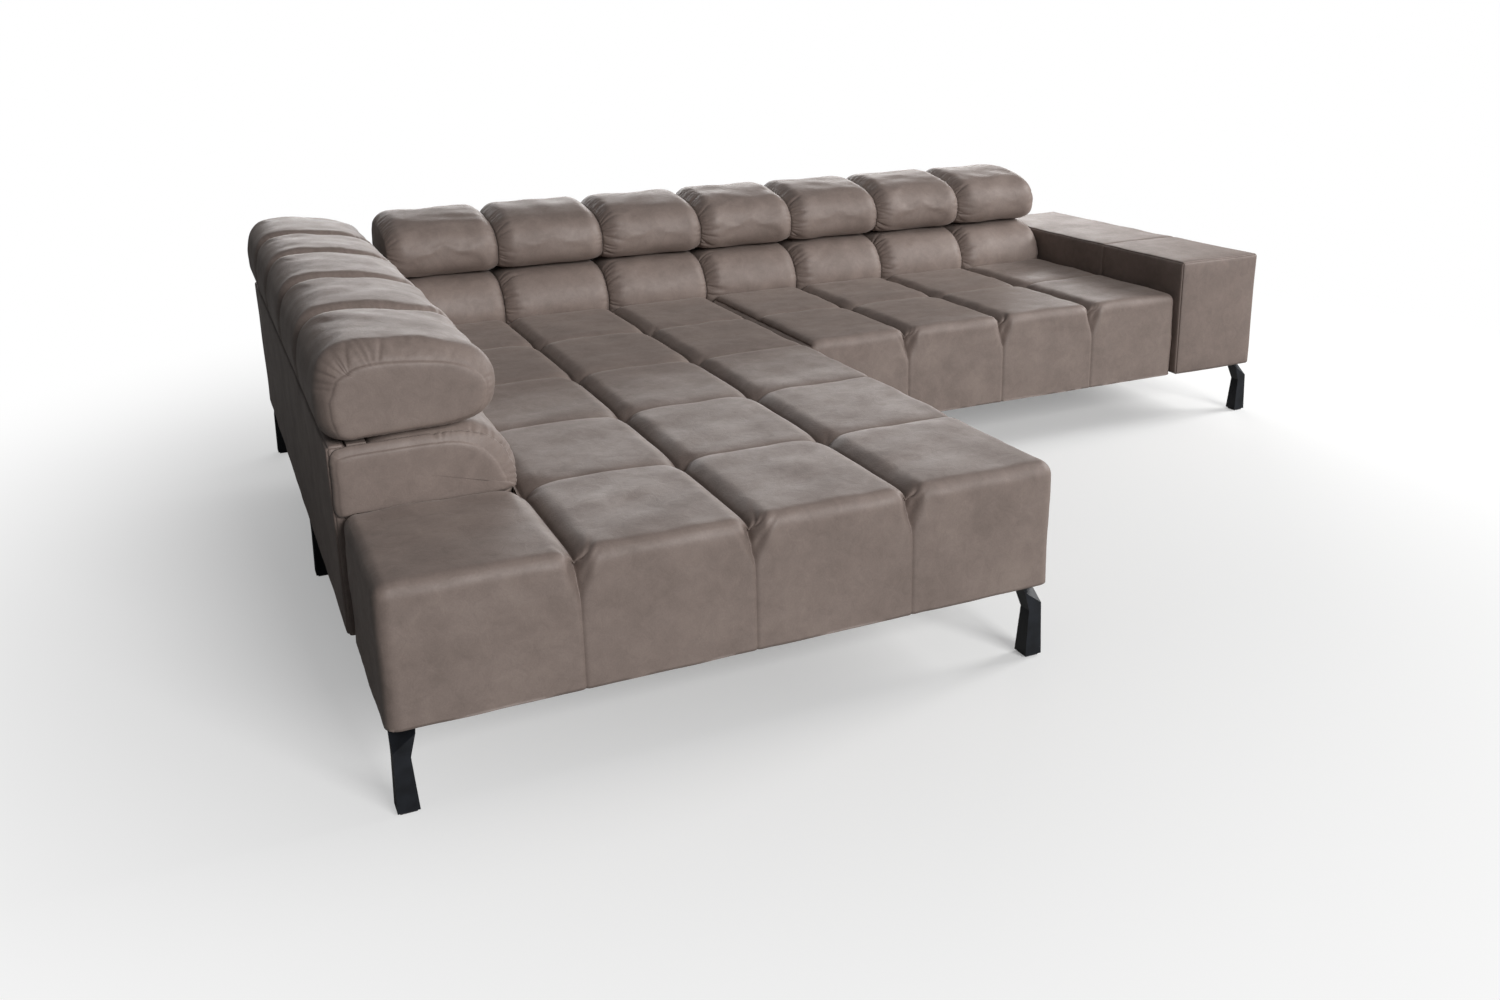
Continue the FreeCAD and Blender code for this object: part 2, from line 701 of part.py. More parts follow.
def seat_springs():
    level = float(cell("rail_top"))
    inset = float(cell("seat_skin")) + 20
    springs = []
    for index in range(4):
        chaise_x = float(columns[index] + columns[index + 1]) / 2
        last = float(rows[5]) if index else float(rows[1]) - 20
        springs.append(zigzag_spring(chaise_x, inset, last, level))
        bench_x = float(columns[index + 4] + columns[index + 5]) / 2
        springs.append(zigzag_spring(bench_x, float(bench_front) + inset, float(rows[5]), level))
    fixed_shape(Part.makeCompound(springs), "seat_springs")


def foot_places():
    """Middles of the support feet: two under the long seat and one under the bench."""
    half_rail = rail * 0.5
    return [(chaise_right * 0.5 + half_rail, rows[3] + 15),
            (chaise_right * 0.5 + half_rail, rows[5] + 165),
            (columns[6] + half_rail, rows[4] + 150)]


def foot_block(x, y, half, low, high):
    return box((x - half, y - half, low), (x + half, y + half, high))


def dust_covers():
    """Thin cloth tacked between the rails, seen only from below."""
    inset = cell("seat_skin") + 2 + rail
    low, high = box_bottom + 1, box_bottom + 3
    hole = cell("post_half") + gap * 2
    chaise = box((inset, inset, low), (chaise_right - inset, rear - inset, high))
    bench = box((chaise_right + inset, bench_front + inset, low),
                (bench_right - inset, rear - inset, high))
    chaise = cut(chaise, fuse([foot_block(x, y, hole, low - 5, high + 5)
                               for x, y in foot_places()[:2]]))
    bench = cut(bench, foot_block(*foot_places()[2], hole, low - 5, high + 5))
    side = cell("arm_skin") + cell("board") + gap * 4
    armrest_room = box((bench_right + side, cell("arm_front") + side, low),
                       (arm_right - side, rear + cell("shell_out") - side, high))
    keep(group([chaise, bench, armrest_room]), "dust_covers")


def module_connectors():
    """Steel plates under the joint that hold the sofa's two halves together."""
    reach, wide, thick = 60, 40, 4
    plates = [box((chaise_right - reach, y, box_bottom - thick),
                  (chaise_right + reach, y + wide, box_bottom))
              for y in (rows[3] + 150, rows[5] + 200)]
    keep(group(plates), "module_connectors")


# Legs

def leg(corner_x, corner_y, turn):
    """A welded steel leg under a corner, leaning inwards above its kink.

    turn is the corner's quarter: 0 front left, 90 front right, 180 rear right and 270 rear
    left. The outer corner's upper part is a slanting facet.
    """
    foot, waist, head = cell("leg_foot"), cell("leg_waist"), cell("leg_head")
    low, kink, top = cell("glide"), cell("leg_kink"), cell("leg_top")
    side = [(0, low), (foot, low), (waist, kink), (head, top), (3, top), (3, cell("leg_facet"))]
    faces = []
    for role in ("XZ_Plane", "YZ_Plane"):
        body = doc.addObject("PartDesign::Body", "leg_side")
        padded(body, outline(body, role, side), head, role == "XZ_Plane")
        faces.append(body)
    core = doc.addObject("Part::MultiCommon", "leg_core")
    core.Shapes = faces
    facet = doc.addObject("Part::Box", "facet")
    for name in ("Length", "Width", "Height"):
        bind(facet, name, 300)
    tilt = Rotation(Vector(1, -1, 0), 45.9)
    facet.Placement = Placement(Vector(0, 0, 0), tilt, Vector(0, 0, 0))
    start = tilt.multVec(Vector(150, 150, 0))
    facet.Placement.Base = Vector(5, 0, float(cell("leg_facet"))) - start
    slanted = cut(core, facet)
    near, far = 21, 80
    plate = box((near, near, top), (far, far, box_bottom), frame=False)
    whole = fuse([slanted, plate])
    whole.Placement.Rotation = Rotation(Vector(0, 0, 1), turn)
    place(whole, corner_x, corner_y, as_length(0))
    return whole


def leg_places():
    """Name, outer corner and quarter of each leg."""
    near = cell("leg_inset")
    out = cell("shell_out")
    back = rear + out - near
    return [
        ("front_left_leg", as_length(0) + near, as_length(0) + near, 0),
        ("front_right_leg", chaise_right - 18, as_length(0) + near, 90),
        ("left_side_leg", near - out, rows[3] - 18, 0),
        ("rear_left_leg", near - out, back, 270),
        ("armrest_leg", arm_right - near, cell("arm_front") + 10, 90),
        ("hidden", arm_right - near, back, 180),
        ("hidden", chaise_right - near, back, 180),
        ("hidden", chaise_right + 10, bench_front + 10, 0),
    ]


def legs_and_glides():
    hidden, glides = [], []
    reach = cell("leg_foot") * 0.5
    inward = {0: (1, 1), 90: (-1, 1), 180: (-1, -1), 270: (1, -1)}
    for name, corner_x, corner_y, turn in leg_places():
        one = leg(corner_x, corner_y, turn)
        if name == "hidden":
            hidden.append(one)
        else:
            keep(one, name)
        side_x, side_y = inward[turn]
        middle = (corner_x + reach * side_x, corner_y + reach * side_y)
        half = reach - 5
        glides.append(box((middle[0] - half, middle[1] - half, 0),
                          (middle[0] + half, middle[1] + half, cell("glide"))))
    keep(group(hidden), "hidden_legs")
    keep(group(glides), "glides")


def support_feet():
    """Plain square posts under the middle of the long rails."""
    high = box_bottom + 60
    keep(group([foot_block(x, y, cell("post_half"), as_length(0), high)
                for x, y in foot_places()]), "support_feet")


def check_and_write():
    doc.recompute()
    for thing in doc.Objects:
        if "Invalid" in thing.State or "Error" in thing.State:
            raise RuntimeError(f"{thing.Name} failed: {thing.State}")
    for thing in nodes:
        if thing.Shape.isNull() or not thing.Shape.isValid():
            raise RuntimeError(f"{thing.Label} has a bad shape")
    os.makedirs("parts", exist_ok=True)
    whole = FreeCAD.BoundBox()
    for thing in nodes:
        thing.Shape.exportStep(f"parts/{thing.Label}.step")
        whole.add(thing.Shape.BoundBox)
        print(thing.Label, len(thing.Shape.Solids), "solids", round(thing.Shape.Volume / 1e3), "cm3")
    print(len(nodes), "sub-parts, size", round(whole.XLength, 1), round(whole.YLength, 1),
          round(whole.ZLength, 1), "from", round(whole.XMin, 1), round(whole.YMin, 1),
          round(whole.ZMin, 1))


seat_cushions()
lower_cushions()
headrests()
ratchet_fittings()
end_panel()
back_shells()
base_frames()
back_frames()
armrest()
seat_springs()
dust_covers()
module_connectors()
legs_and_glides()
support_feet()
check_and_write()
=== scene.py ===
# %% [markdown]
# # A corner sofa in nubuck leather
# The sofa has a long seat on the left, a bench on the right, twelve folding headrests and one
# low armrest. The wooden frames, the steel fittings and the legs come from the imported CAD
# model and only get materials here. Everything that is stuffed or covered in leather is
# modelled in this lesson, in the places that the CAD model gives.

# %% Load the frame
import json
import math

import bpy
import numpy as np
from mathutils import Matrix, Vector


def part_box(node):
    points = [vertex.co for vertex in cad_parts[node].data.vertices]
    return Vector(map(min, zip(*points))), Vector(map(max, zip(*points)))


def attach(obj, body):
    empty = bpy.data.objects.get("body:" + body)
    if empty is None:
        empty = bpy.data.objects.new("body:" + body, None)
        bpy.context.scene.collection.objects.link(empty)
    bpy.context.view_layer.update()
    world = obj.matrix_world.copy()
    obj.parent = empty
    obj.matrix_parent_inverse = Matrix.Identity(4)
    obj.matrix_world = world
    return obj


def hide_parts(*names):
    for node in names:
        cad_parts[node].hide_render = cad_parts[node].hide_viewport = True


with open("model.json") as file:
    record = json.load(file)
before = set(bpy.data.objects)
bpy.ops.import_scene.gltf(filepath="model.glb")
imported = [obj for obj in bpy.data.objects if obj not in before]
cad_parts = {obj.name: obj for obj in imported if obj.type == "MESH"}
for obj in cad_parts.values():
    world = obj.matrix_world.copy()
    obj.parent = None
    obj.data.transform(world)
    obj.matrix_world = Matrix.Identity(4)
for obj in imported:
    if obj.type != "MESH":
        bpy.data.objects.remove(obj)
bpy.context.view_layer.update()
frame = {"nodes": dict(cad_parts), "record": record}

bpy.ops.object.select_all(action="DESELECT")

# %% [markdown]
# ## Sizes
# A stuffed piece stands where its CAD solid stands, so the seams' places are read from the
# solids' boxes. Millimetres are easier to think in, so one value turns them into metres.

# %% Seam lines and levels
MM = 0.001


def low_high(node):
    """Lowest and highest corner of a CAD node as arrays, in metres."""
    low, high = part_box(node)
    return np.array(low), np.array(high)


chaise_low, chaise_high = low_high("chaise_seat_cushion")
bench_low, bench_high = low_high("bench_seat_cushion")
left_x = chaise_low[0]
rear_y = low_high("main_back_shell")[1][1] - 12 * MM
left_names = [f"left_{number}" for number in (1, 2, 3, 4)] + ["corner"]
main_names = [f"main_{number}" for number in range(1, 8)]
column_lines = [left_x] + [low_high(f"{name}_headrest")[0][0] - 1 * MM for name in main_names]
column_lines.append(low_high("main_7_headrest")[1][0] + 1 * MM)
row_lines = [chaise_low[1]] + [low_high(f"{name}_headrest")[0][1] - 1 * MM for name in left_names]
print("columns", [round(v, 3) for v in column_lines], "rows", [round(v, 3) for v in row_lines])

# %% [markdown]
# ## Camera
# The photograph was taken from above the long seat's front left, looking to the right and
# down. Its place and turn were solved from the seams, so they are kept as plain values.

# %% Camera
view_place = Vector((-1.7635, -3.285, 1.375))
yaw, pitch, roll = math.radians(23.6), math.radians(-16.6), math.radians(-1.3)
forward = Vector((math.sin(yaw) * math.cos(pitch), math.cos(yaw) * math.cos(pitch), math.sin(pitch)))
level_right = Vector((math.cos(yaw), -math.sin(yaw), 0))
level_up = level_right.cross(forward)
right = level_right * math.cos(roll) + level_up * math.sin(roll)
up = level_up * math.cos(roll) - level_right * math.sin(roll)
camera_data = bpy.data.cameras.new("photo_camera")
camera_data.lens = 31.33
camera_data.shift_y = -0.0667
camera = bpy.data.objects.new("photo_camera", camera_data)
bpy.context.scene.collection.objects.link(camera)
camera.matrix_world = Matrix.Translation(view_place) @ Matrix(
    (right, up, -forward)).transposed().to_4x4()
bpy.context.scene.camera = camera
print("camera at", [round(v, 3) for v in camera.location])

# %% [markdown]
# ## Materials
# Colours are written as sRGB hex values and turned to linear once. One function adds a node
# with its settings and its links, and each material is a short list of such nodes.

# %% Colour and node helpers


def linear(hex_colour):
    """An sRGB hex colour as linear RGBA."""
    parts = [int(hex_colour[start:start + 2], 16) / 255 for start in (1, 3, 5)]
    return [v / 12.92 if v <= 0.04045 else ((v + 0.055) / 1.055) ** 2.4 for v in parts] + [1.0]


def add(tree, kind, links=(), inputs=(), **settings):
    """Adds a node: settings are its own fields, inputs its socket values, links its sources."""
    node = tree.nodes.new(kind)
    for name, value in settings.items():
        setattr(node, name, value)
    for socket, value in dict(inputs).items():
        node.inputs[socket].default_value = value
    for socket, source in dict(links).items():
        tree.links.new(source, node.inputs[socket])
    return node


def new_material(name):
    """An empty material with its output, its Principled shader and Object coordinates."""
    material = bpy.data.materials.new(name)
    material.use_nodes = True
    tree = material.node_tree
    tree.nodes.clear()
    shader = add(tree, "ShaderNodeBsdfPrincipled")
    add(tree, "ShaderNodeOutputMaterial", links={"Surface": shader.outputs["BSDF"]})
    place = add(tree, "ShaderNodeTexCoord").outputs["Object"]
    return material, tree, shader, place


def ramp_of(tree, source, stops):
    """A colour ramp over source: stops are (position, hex colour) pairs."""
    ramp = add(tree, "ShaderNodeValToRGB", links={"Fac": source})
    while len(ramp.color_ramp.elements) < len(stops):
        ramp.color_ramp.elements.new(0.5)
    for element, (position, colour) in zip(ramp.color_ramp.elements, stops):
        element.position = position
        element.color = linear(colour)
    return ramp.outputs["Color"]


# %% [markdown]
# ### Nubuck leather
# Nubuck is leather whose grain side was sanded to a short nap. The nap lies in patches, so the
# colour drifts softly over a hand's width, paler marks show where it was brushed or pulled,
# and edges catch a silky light. Its pores are under a millimetre, so they are drawn about
# three times as coarse, or a picture of the whole sofa would lose them.

# %% Nubuck


def nubuck(name, dark, middle, pale):
    material, tree, shader, place = new_material(name)
    patches = add(tree, "ShaderNodeTexNoise", links={"Vector": place},
                  inputs={"Scale": 1 / (140 * MM), "Detail": 5, "Roughness": 0.62})
    brushed = add(tree, "ShaderNodeTexNoise", links={"Vector": place},
                  inputs={"Scale": 1 / (34 * MM), "Detail": 6, "Roughness": 0.68, "Distortion": 0.7})
    grain = add(tree, "ShaderNodeTexNoise", links={"Vector": place},
                inputs={"Scale": 1 / (3.2 * MM), "Detail": 3, "Roughness": 0.6})
    drift = add(tree, "ShaderNodeMix", data_type="FLOAT", inputs={"Factor": 0.42},
                links={"A": patches.outputs["Fac"], "B": brushed.outputs["Fac"]})
    mottled = add(tree, "ShaderNodeMix", data_type="FLOAT", inputs={"Factor": 0.2},
                  links={"A": drift.outputs["Result"], "B": grain.outputs["Fac"]})
    colour = ramp_of(tree, mottled.outputs["Result"], [(0.36, dark), (0.5, middle), (0.66, pale)])
    tree.links.new(colour, shader.inputs["Base Color"])
    rough = add(tree, "ShaderNodeMapRange", links={"Value": drift.outputs["Result"]},
                inputs={"From Min": 0.35, "From Max": 0.65, "To Min": 0.66, "To Max": 0.5})
    tree.links.new(rough.outputs["Result"], shader.inputs["Roughness"])
    creases = add(tree, "ShaderNodeTexVoronoi", links={"Vector": place}, feature="DISTANCE_TO_EDGE",
                  inputs={"Scale": 1 / (5.5 * MM), "Randomness": 1.0})
    height = add(tree, "ShaderNodeMix", data_type="FLOAT", inputs={"Factor": 0.3},
                 links={"A": grain.outputs["Fac"], "B": creases.outputs["Distance"]})
    fine = add(tree, "ShaderNodeBump", links={"Height": height.outputs["Result"]},
               inputs={"Strength": 0.22, "Distance": 0.7 * MM})
    soft = add(tree, "ShaderNodeBump", inputs={"Strength": 0.3, "Distance": 3 * MM},
               links={"Height": brushed.outputs["Fac"], "Normal": fine.outputs["Normal"]})
    tree.links.new(soft.outputs["Normal"], shader.inputs["Normal"])
    shader.inputs["Sheen Weight"].default_value = 0.22
    shader.inputs["Sheen Roughness"].default_value = 0.35
    shader.inputs["Sheen Tint"].default_value = linear("#d8cdc6")
    shader.inputs["IOR"].default_value = 1.48
    return material


cushion_leather = nubuck("nubuck_leather_cushions", "#73665f", "#7f716a", "#8b7d75")
body_leather = nubuck("nubuck_leather_body", "#6f625c", "#7b6d66", "#877871")
print("leather:", cushion_leather.name, body_leather.name)

# %% [markdown]
# ### Powder coat, steel, wood, cloth and felt
# The legs are welded steel plate with a satin black powder coat, which has a very fine orange
# peel. The fittings are zinc-plated, so they are grey with a faint cloudy pattern. The frames
# are planed pine and beech plywood, whose grain runs along the rails.

# %% Plain materials


def powder_coat():
    material, tree, shader, place = new_material("black_powder_coat")
    peel = add(tree, "ShaderNodeTexNoise", links={"Vector": place},
               inputs={"Scale": 1 / (1.6 * MM), "Detail": 2})
    wear = add(tree, "ShaderNodeTexNoise", links={"Vector": place},
               inputs={"Scale": 1 / (40 * MM), "Detail": 4})
    colour = ramp_of(tree, wear.outputs["Fac"], [(0.35, "#14161a"), (0.7, "#202329")])
    tree.links.new(colour, shader.inputs["Base Color"])
    rough = add(tree, "ShaderNodeMapRange", links={"Value": wear.outputs["Fac"]},
                inputs={"To Min": 0.3, "To Max": 0.46})
    tree.links.new(rough.outputs["Result"], shader.inputs["Roughness"])
    bump = add(tree, "ShaderNodeBump", links={"Height": peel.outputs["Fac"]},
               inputs={"Strength": 0.15, "Distance": 0.2 * MM})
    tree.links.new(bump.outputs["Normal"], shader.inputs["Normal"])
    return material


def plated_steel(name, dark, pale, roughness):
    material, tree, shader, place = new_material(name)
    cloud = add(tree, "ShaderNodeTexVoronoi", links={"Vector": place},
                inputs={"Scale": 1 / (9 * MM)})
    colour = ramp_of(tree, cloud.outputs["Distance"], [(0.1, dark), (0.9, pale)])
    tree.links.new(colour, shader.inputs["Base Color"])
    shader.inputs["Metallic"].default_value = 1.0
    rough = add(tree, "ShaderNodeMapRange", links={"Value": cloud.outputs["Distance"]},
                inputs={"To Min": roughness, "To Max": roughness + 0.14})
    tree.links.new(rough.outputs["Result"], shader.inputs["Roughness"])
    return material


def sawn_wood(name, early, late, ring_width, roughness):
    material, tree, shader, place = new_material(name)
    along = add(tree, "ShaderNodeMapping", links={"Vector": place},
                inputs={"Scale": (0.12, 1.0, 1.0)})
    rings = add(tree, "ShaderNodeTexWave", links={"Vector": along.outputs["Vector"]},
                bands_direction="Z",
                inputs={"Scale": 0.3 / ring_width, "Distortion": 6.0, "Detail": 3})
    colour = ramp_of(tree, rings.outputs["Fac"], [(0.2, early), (0.85, late)])
    tree.links.new(colour, shader.inputs["Base Color"])
    shader.inputs["Roughness"].default_value = roughness
    bump = add(tree, "ShaderNodeBump", links={"Height": rings.outputs["Fac"]},
               inputs={"Strength": 0.2, "Distance": 0.4 * MM})
    tree.links.new(bump.outputs["Normal"], shader.inputs["Normal"])
    return material


def matted_fibre(name, dark, pale, fibre, roughness):
    material, tree, shader, place = new_material(name)
    mat = add(tree, "ShaderNodeTexNoise", links={"Vector": place},
              inputs={"Scale": 1 / fibre, "Detail": 5, "Distortion": 1.5})
    colour = ramp_of(tree, mat.outputs["Fac"], [(0.35, dark), (0.65, pale)])
    tree.links.new(colour, shader.inputs["Base Color"])
    shader.inputs["Roughness"].default_value = roughness
    bump = add(tree, "ShaderNodeBump", links={"Height": mat.outputs["Fac"]},
               inputs={"Strength": 0.4, "Distance": 0.5 * MM})
    tree.links.new(bump.outputs["Normal"], shader.inputs["Normal"])
    return material


finishes = {
    "cushion_leather": cushion_leather,
    "body_leather": body_leather,
    "leg_paint": powder_coat(),
    "fitting_steel": plated_steel("zinc_plated_steel", "#9a9ca0", "#c3c5c8", 0.32),
    "spring_steel": plated_steel("oiled_spring_steel", "#4b4d52", "#6f7278", 0.38),
    "softwood": sawn_wood("planed_pine", "#d8b887", "#b98a55", 4 * MM, 0.6),
    "plywood": sawn_wood("beech_plywood", "#c9a57c", "#a97f55", 2 * MM, 0.5),
    "dust_cloth": matted_fibre("black_nonwoven_cloth", "#141415", "#242426", 1.5 * MM, 0.95),
    "felt": matted_fibre("grey_wool_felt", "#3b3a3b", "#5a595a", 2 * MM, 0.95),
    "black_plastic": matted_fibre("moulded_polypropylene", "#17181a", "#1f2023", 1.2 * MM, 0.45),
}
slot_of = {part["node"]: part["material_slot"] for part in frame["record"]["subparts"]}
for node_name, cad_object in frame["nodes"].items():
    cad_object.data.materials.clear()
    cad_object.data.materials.append(finishes[slot_of[node_name]])
print("finishes:", ", ".join(sorted(finishes)))

# %% [markdown]
# ## Helpers for stuffed pieces
# Leather over foam is never flat: it swells between its seams and is gathered where a long
# edge was sewn to a shorter one. Each stuffed piece starts as an even net of faces, whose
# lines lie closer together near the seams, and its points are then pushed in and out.

# %% Ripples, folds and new pieces


def ripple(points, wavelength, seed):
    """Smooth unevenness from -1 to 1 at each point: a sum of waves in random directions."""
    chance = np.random.default_rng(seed)
    total = np.zeros(len(points))
    waves = 14
    for _ in range(waves):
        direction = chance.normal(size=3)
        direction *= 2 * math.pi / (np.linalg.norm(direction) * wavelength * chance.uniform(0.7, 1.6))
        total += np.sin(points @ direction + chance.uniform(0, 2 * math.pi))
    return total / math.sqrt(waves) * 0.7


def gathers(along, away, folds):
    """Depth of puckers that start at a seam: along is the place on it, away the distance."""
    depth = np.zeros(len(along))
    for place, deep, wide, reach, slant in folds:
        spread = wide * (1 + away / (70 * MM))
        rise = np.clip(away / (6 * MM), 0.25, 1)
        depth += deep * rise * np.exp(-((along - place - slant * away) / spread) ** 2
                                      - (np.maximum(away, 0) / reach) ** 2)
    return depth


def random_folds(chance, spans, spacing, deep, reach):
    """Folds along a seam: spans are (first, last, strength) stretches of it."""
    folds = []
    for first, last, strength in spans:
        place = first + chance.uniform(0.3, 1.0) * spacing
        while place < last:
            size = strength * chance.uniform(0.35, 1.0)
            folds.append((place, deep * size, chance.uniform(2.8, 4.6) * MM,
                          reach * (0.45 + 0.7 * size), chance.uniform(-0.5, 0.5)))
            place += spacing * chance.uniform(0.65, 1.5)
    return folds


def make_piece(name, points, faces, material, smooth=True):
    """A mesh object at the origin, linked, with its material and outward normals."""
    mesh = bpy.data.meshes.new(name)
    mesh.from_pydata([tuple(point) for point in points], [], [tuple(face) for face in faces])
    mesh.update()
    piece = bpy.data.objects.new(name, mesh)
    bpy.context.scene.collection.objects.link(piece)
    mesh.materials.append(material)
    bpy.ops.object.select_all(action="DESELECT")
    bpy.context.view_layer.objects.active = piece
    piece.select_set(True)
    bpy.ops.object.mode_set(mode="EDIT")
    bpy.ops.mesh.select_all(action="SELECT")
    bpy.ops.mesh.normals_make_consistent(inside=False)
    bpy.ops.object.mode_set(mode="OBJECT")
    if smooth:
        bpy.ops.object.shade_smooth()
    piece.select_set(False)
    return piece


# %% [markdown]
# ## Letting the foam press outwards
# A cover is cut a little larger than its foam, so the leather wrinkles between its seams.
# Blender's cloth does the same when its rest shape is a few percent larger than the net: the
# seams are pinned, a light pressure fills the form for twenty frames, and each point may move
# only a few millimetres. The result is kept as one small move for each point. Every pad of
# the same kind takes its own share of it and of its mirror image, so no two pads look alike.

# %% Cloth under pressure


def pressed(points, faces, pinned, cap, larger):
    """How far the cloth moves each point of a form whose pinned points stay."""
    form = make_piece("cloth_form", points, faces, cushion_leather)
    group = form.vertex_groups.new(name="seams")
    group.add([int(index) for index in np.nonzero(pinned)[0]], 1.0, "REPLACE")
    cloth = form.modifiers.new("cloth", "CLOTH")
    cloth.settings.quality = 5
    cloth.settings.mass = 0.5
    cloth.settings.tension_stiffness = cloth.settings.compression_stiffness = 25
    cloth.settings.shear_stiffness = 12
    cloth.settings.bending_stiffness = 0.8
    cloth.settings.shrink_min = -larger
    cloth.settings.use_pressure = True
    cloth.settings.uniform_pressure_force = 4
    cloth.settings.vertex_group_mass = "seams"
    cloth.settings.effector_weights.gravity = 0
    cloth.collision_settings.use_collision = False
    cloth.point_cache.frame_start, cloth.point_cache.frame_end = 1, 20
    for frame_number in range(1, 21):
        bpy.context.scene.frame_set(frame_number)
    shaped = form.evaluated_get(bpy.context.evaluated_depsgraph_get()).data
    moved = np.array([tuple(vertex.co) for vertex in shaped.vertices]) - points
    bpy.context.scene.frame_set(1)
    bpy.data.objects.remove(form)
    size = np.linalg.norm(moved, axis=1)
    print("cloth moved up to", round(size.max() * 1000, 1), "mm, on average",
          round(size.mean() * 1000, 2), "mm")
    return moved * (np.minimum(size, cap) / np.maximum(size, 1e-9))[:, None]


wrinkles_of = {}

# %% [markdown]
# ## Headrests and back cushions
# Both are loaves: a long band of leather is wrapped round the foam and sewn to a flat end
# piece on each side. The band is longer than the end piece's edge, so it puckers along the
# seam and swells between the ends. The section is a smooth curve through a few points, the
# seam is that curve drawn inwards, and a quarter of an ellipse joins the two.

# %% A loaf between two seams


def smooth_loop(corners, count):
    """count evenly spaced points on a smooth closed curve through corners."""
    knots = np.array(corners, float)
    total = len(knots)
    samples = []
    for index in range(total):
        before, first, second, after = (knots[(index + step) % total] for step in (-1, 0, 1, 2))
        for share in np.linspace(0, 1, 24, endpoint=False):
            samples.append(0.5 * (2 * first + (second - before) * share
                                  + (2 * before - 5 * first + 4 * second - after) * share ** 2
                                  + (3 * first - before - 3 * second + after) * share ** 3))
    samples = np.array(samples)
    closed = np.vstack([samples, samples[:1]])
    lengths = np.concatenate([[0], np.cumsum(np.linalg.norm(np.diff(closed, axis=0), axis=1))])
    spots = np.linspace(0, lengths[-1], count, endpoint=False)
    loop = np.column_stack([np.interp(spots, lengths, closed[:, axis]) for axis in (0, 1)])
    return loop, spots, lengths[-1]


def outward(loop):
    """Unit normals of a loop that runs clockwise, seen with depth to the right."""
    tangent = np.roll(loop, -1, axis=0) - np.roll(loop, 1, axis=0)
    normal = np.column_stack([-tangent[:, 1], tangent[:, 0]])
    normal /= np.linalg.norm(normal, axis=1)[:, None]
    centre = loop.mean(axis=0)
    if ((loop - centre) * normal).sum() < 0:
        normal = -normal
    return normal


def stations(length):
    """Distances of the net's rings from one seam to the other, closer near the seams."""
    near = np.array([0, 1.2, 3, 5.5, 9, 13, 18, 24, 31, 39, 48, 58, 70, 84]) * MM
    middle = np.linspace(near[-1], length - near[-1], 18)
    return np.concatenate([near, middle[1:-1], length - near[::-1]])


def band_stations(length):
    """Distances of the rings of a narrow band that has puckers on one side only."""
    return np.array([0, 0.06, 0.14, 0.26, 0.42, 0.6, 0.8, 1.0]) * length


CAP_STEPS = ((0.99, 0.3), (0.97, 0.6), (0.94, 0.8), (0.9, 0.92), (0.84, 0.98), (0.76, 1.0),
             (0.66, 1.0), (0.52, 1.0), (0.36, 1.0), (0.18, 1.0))


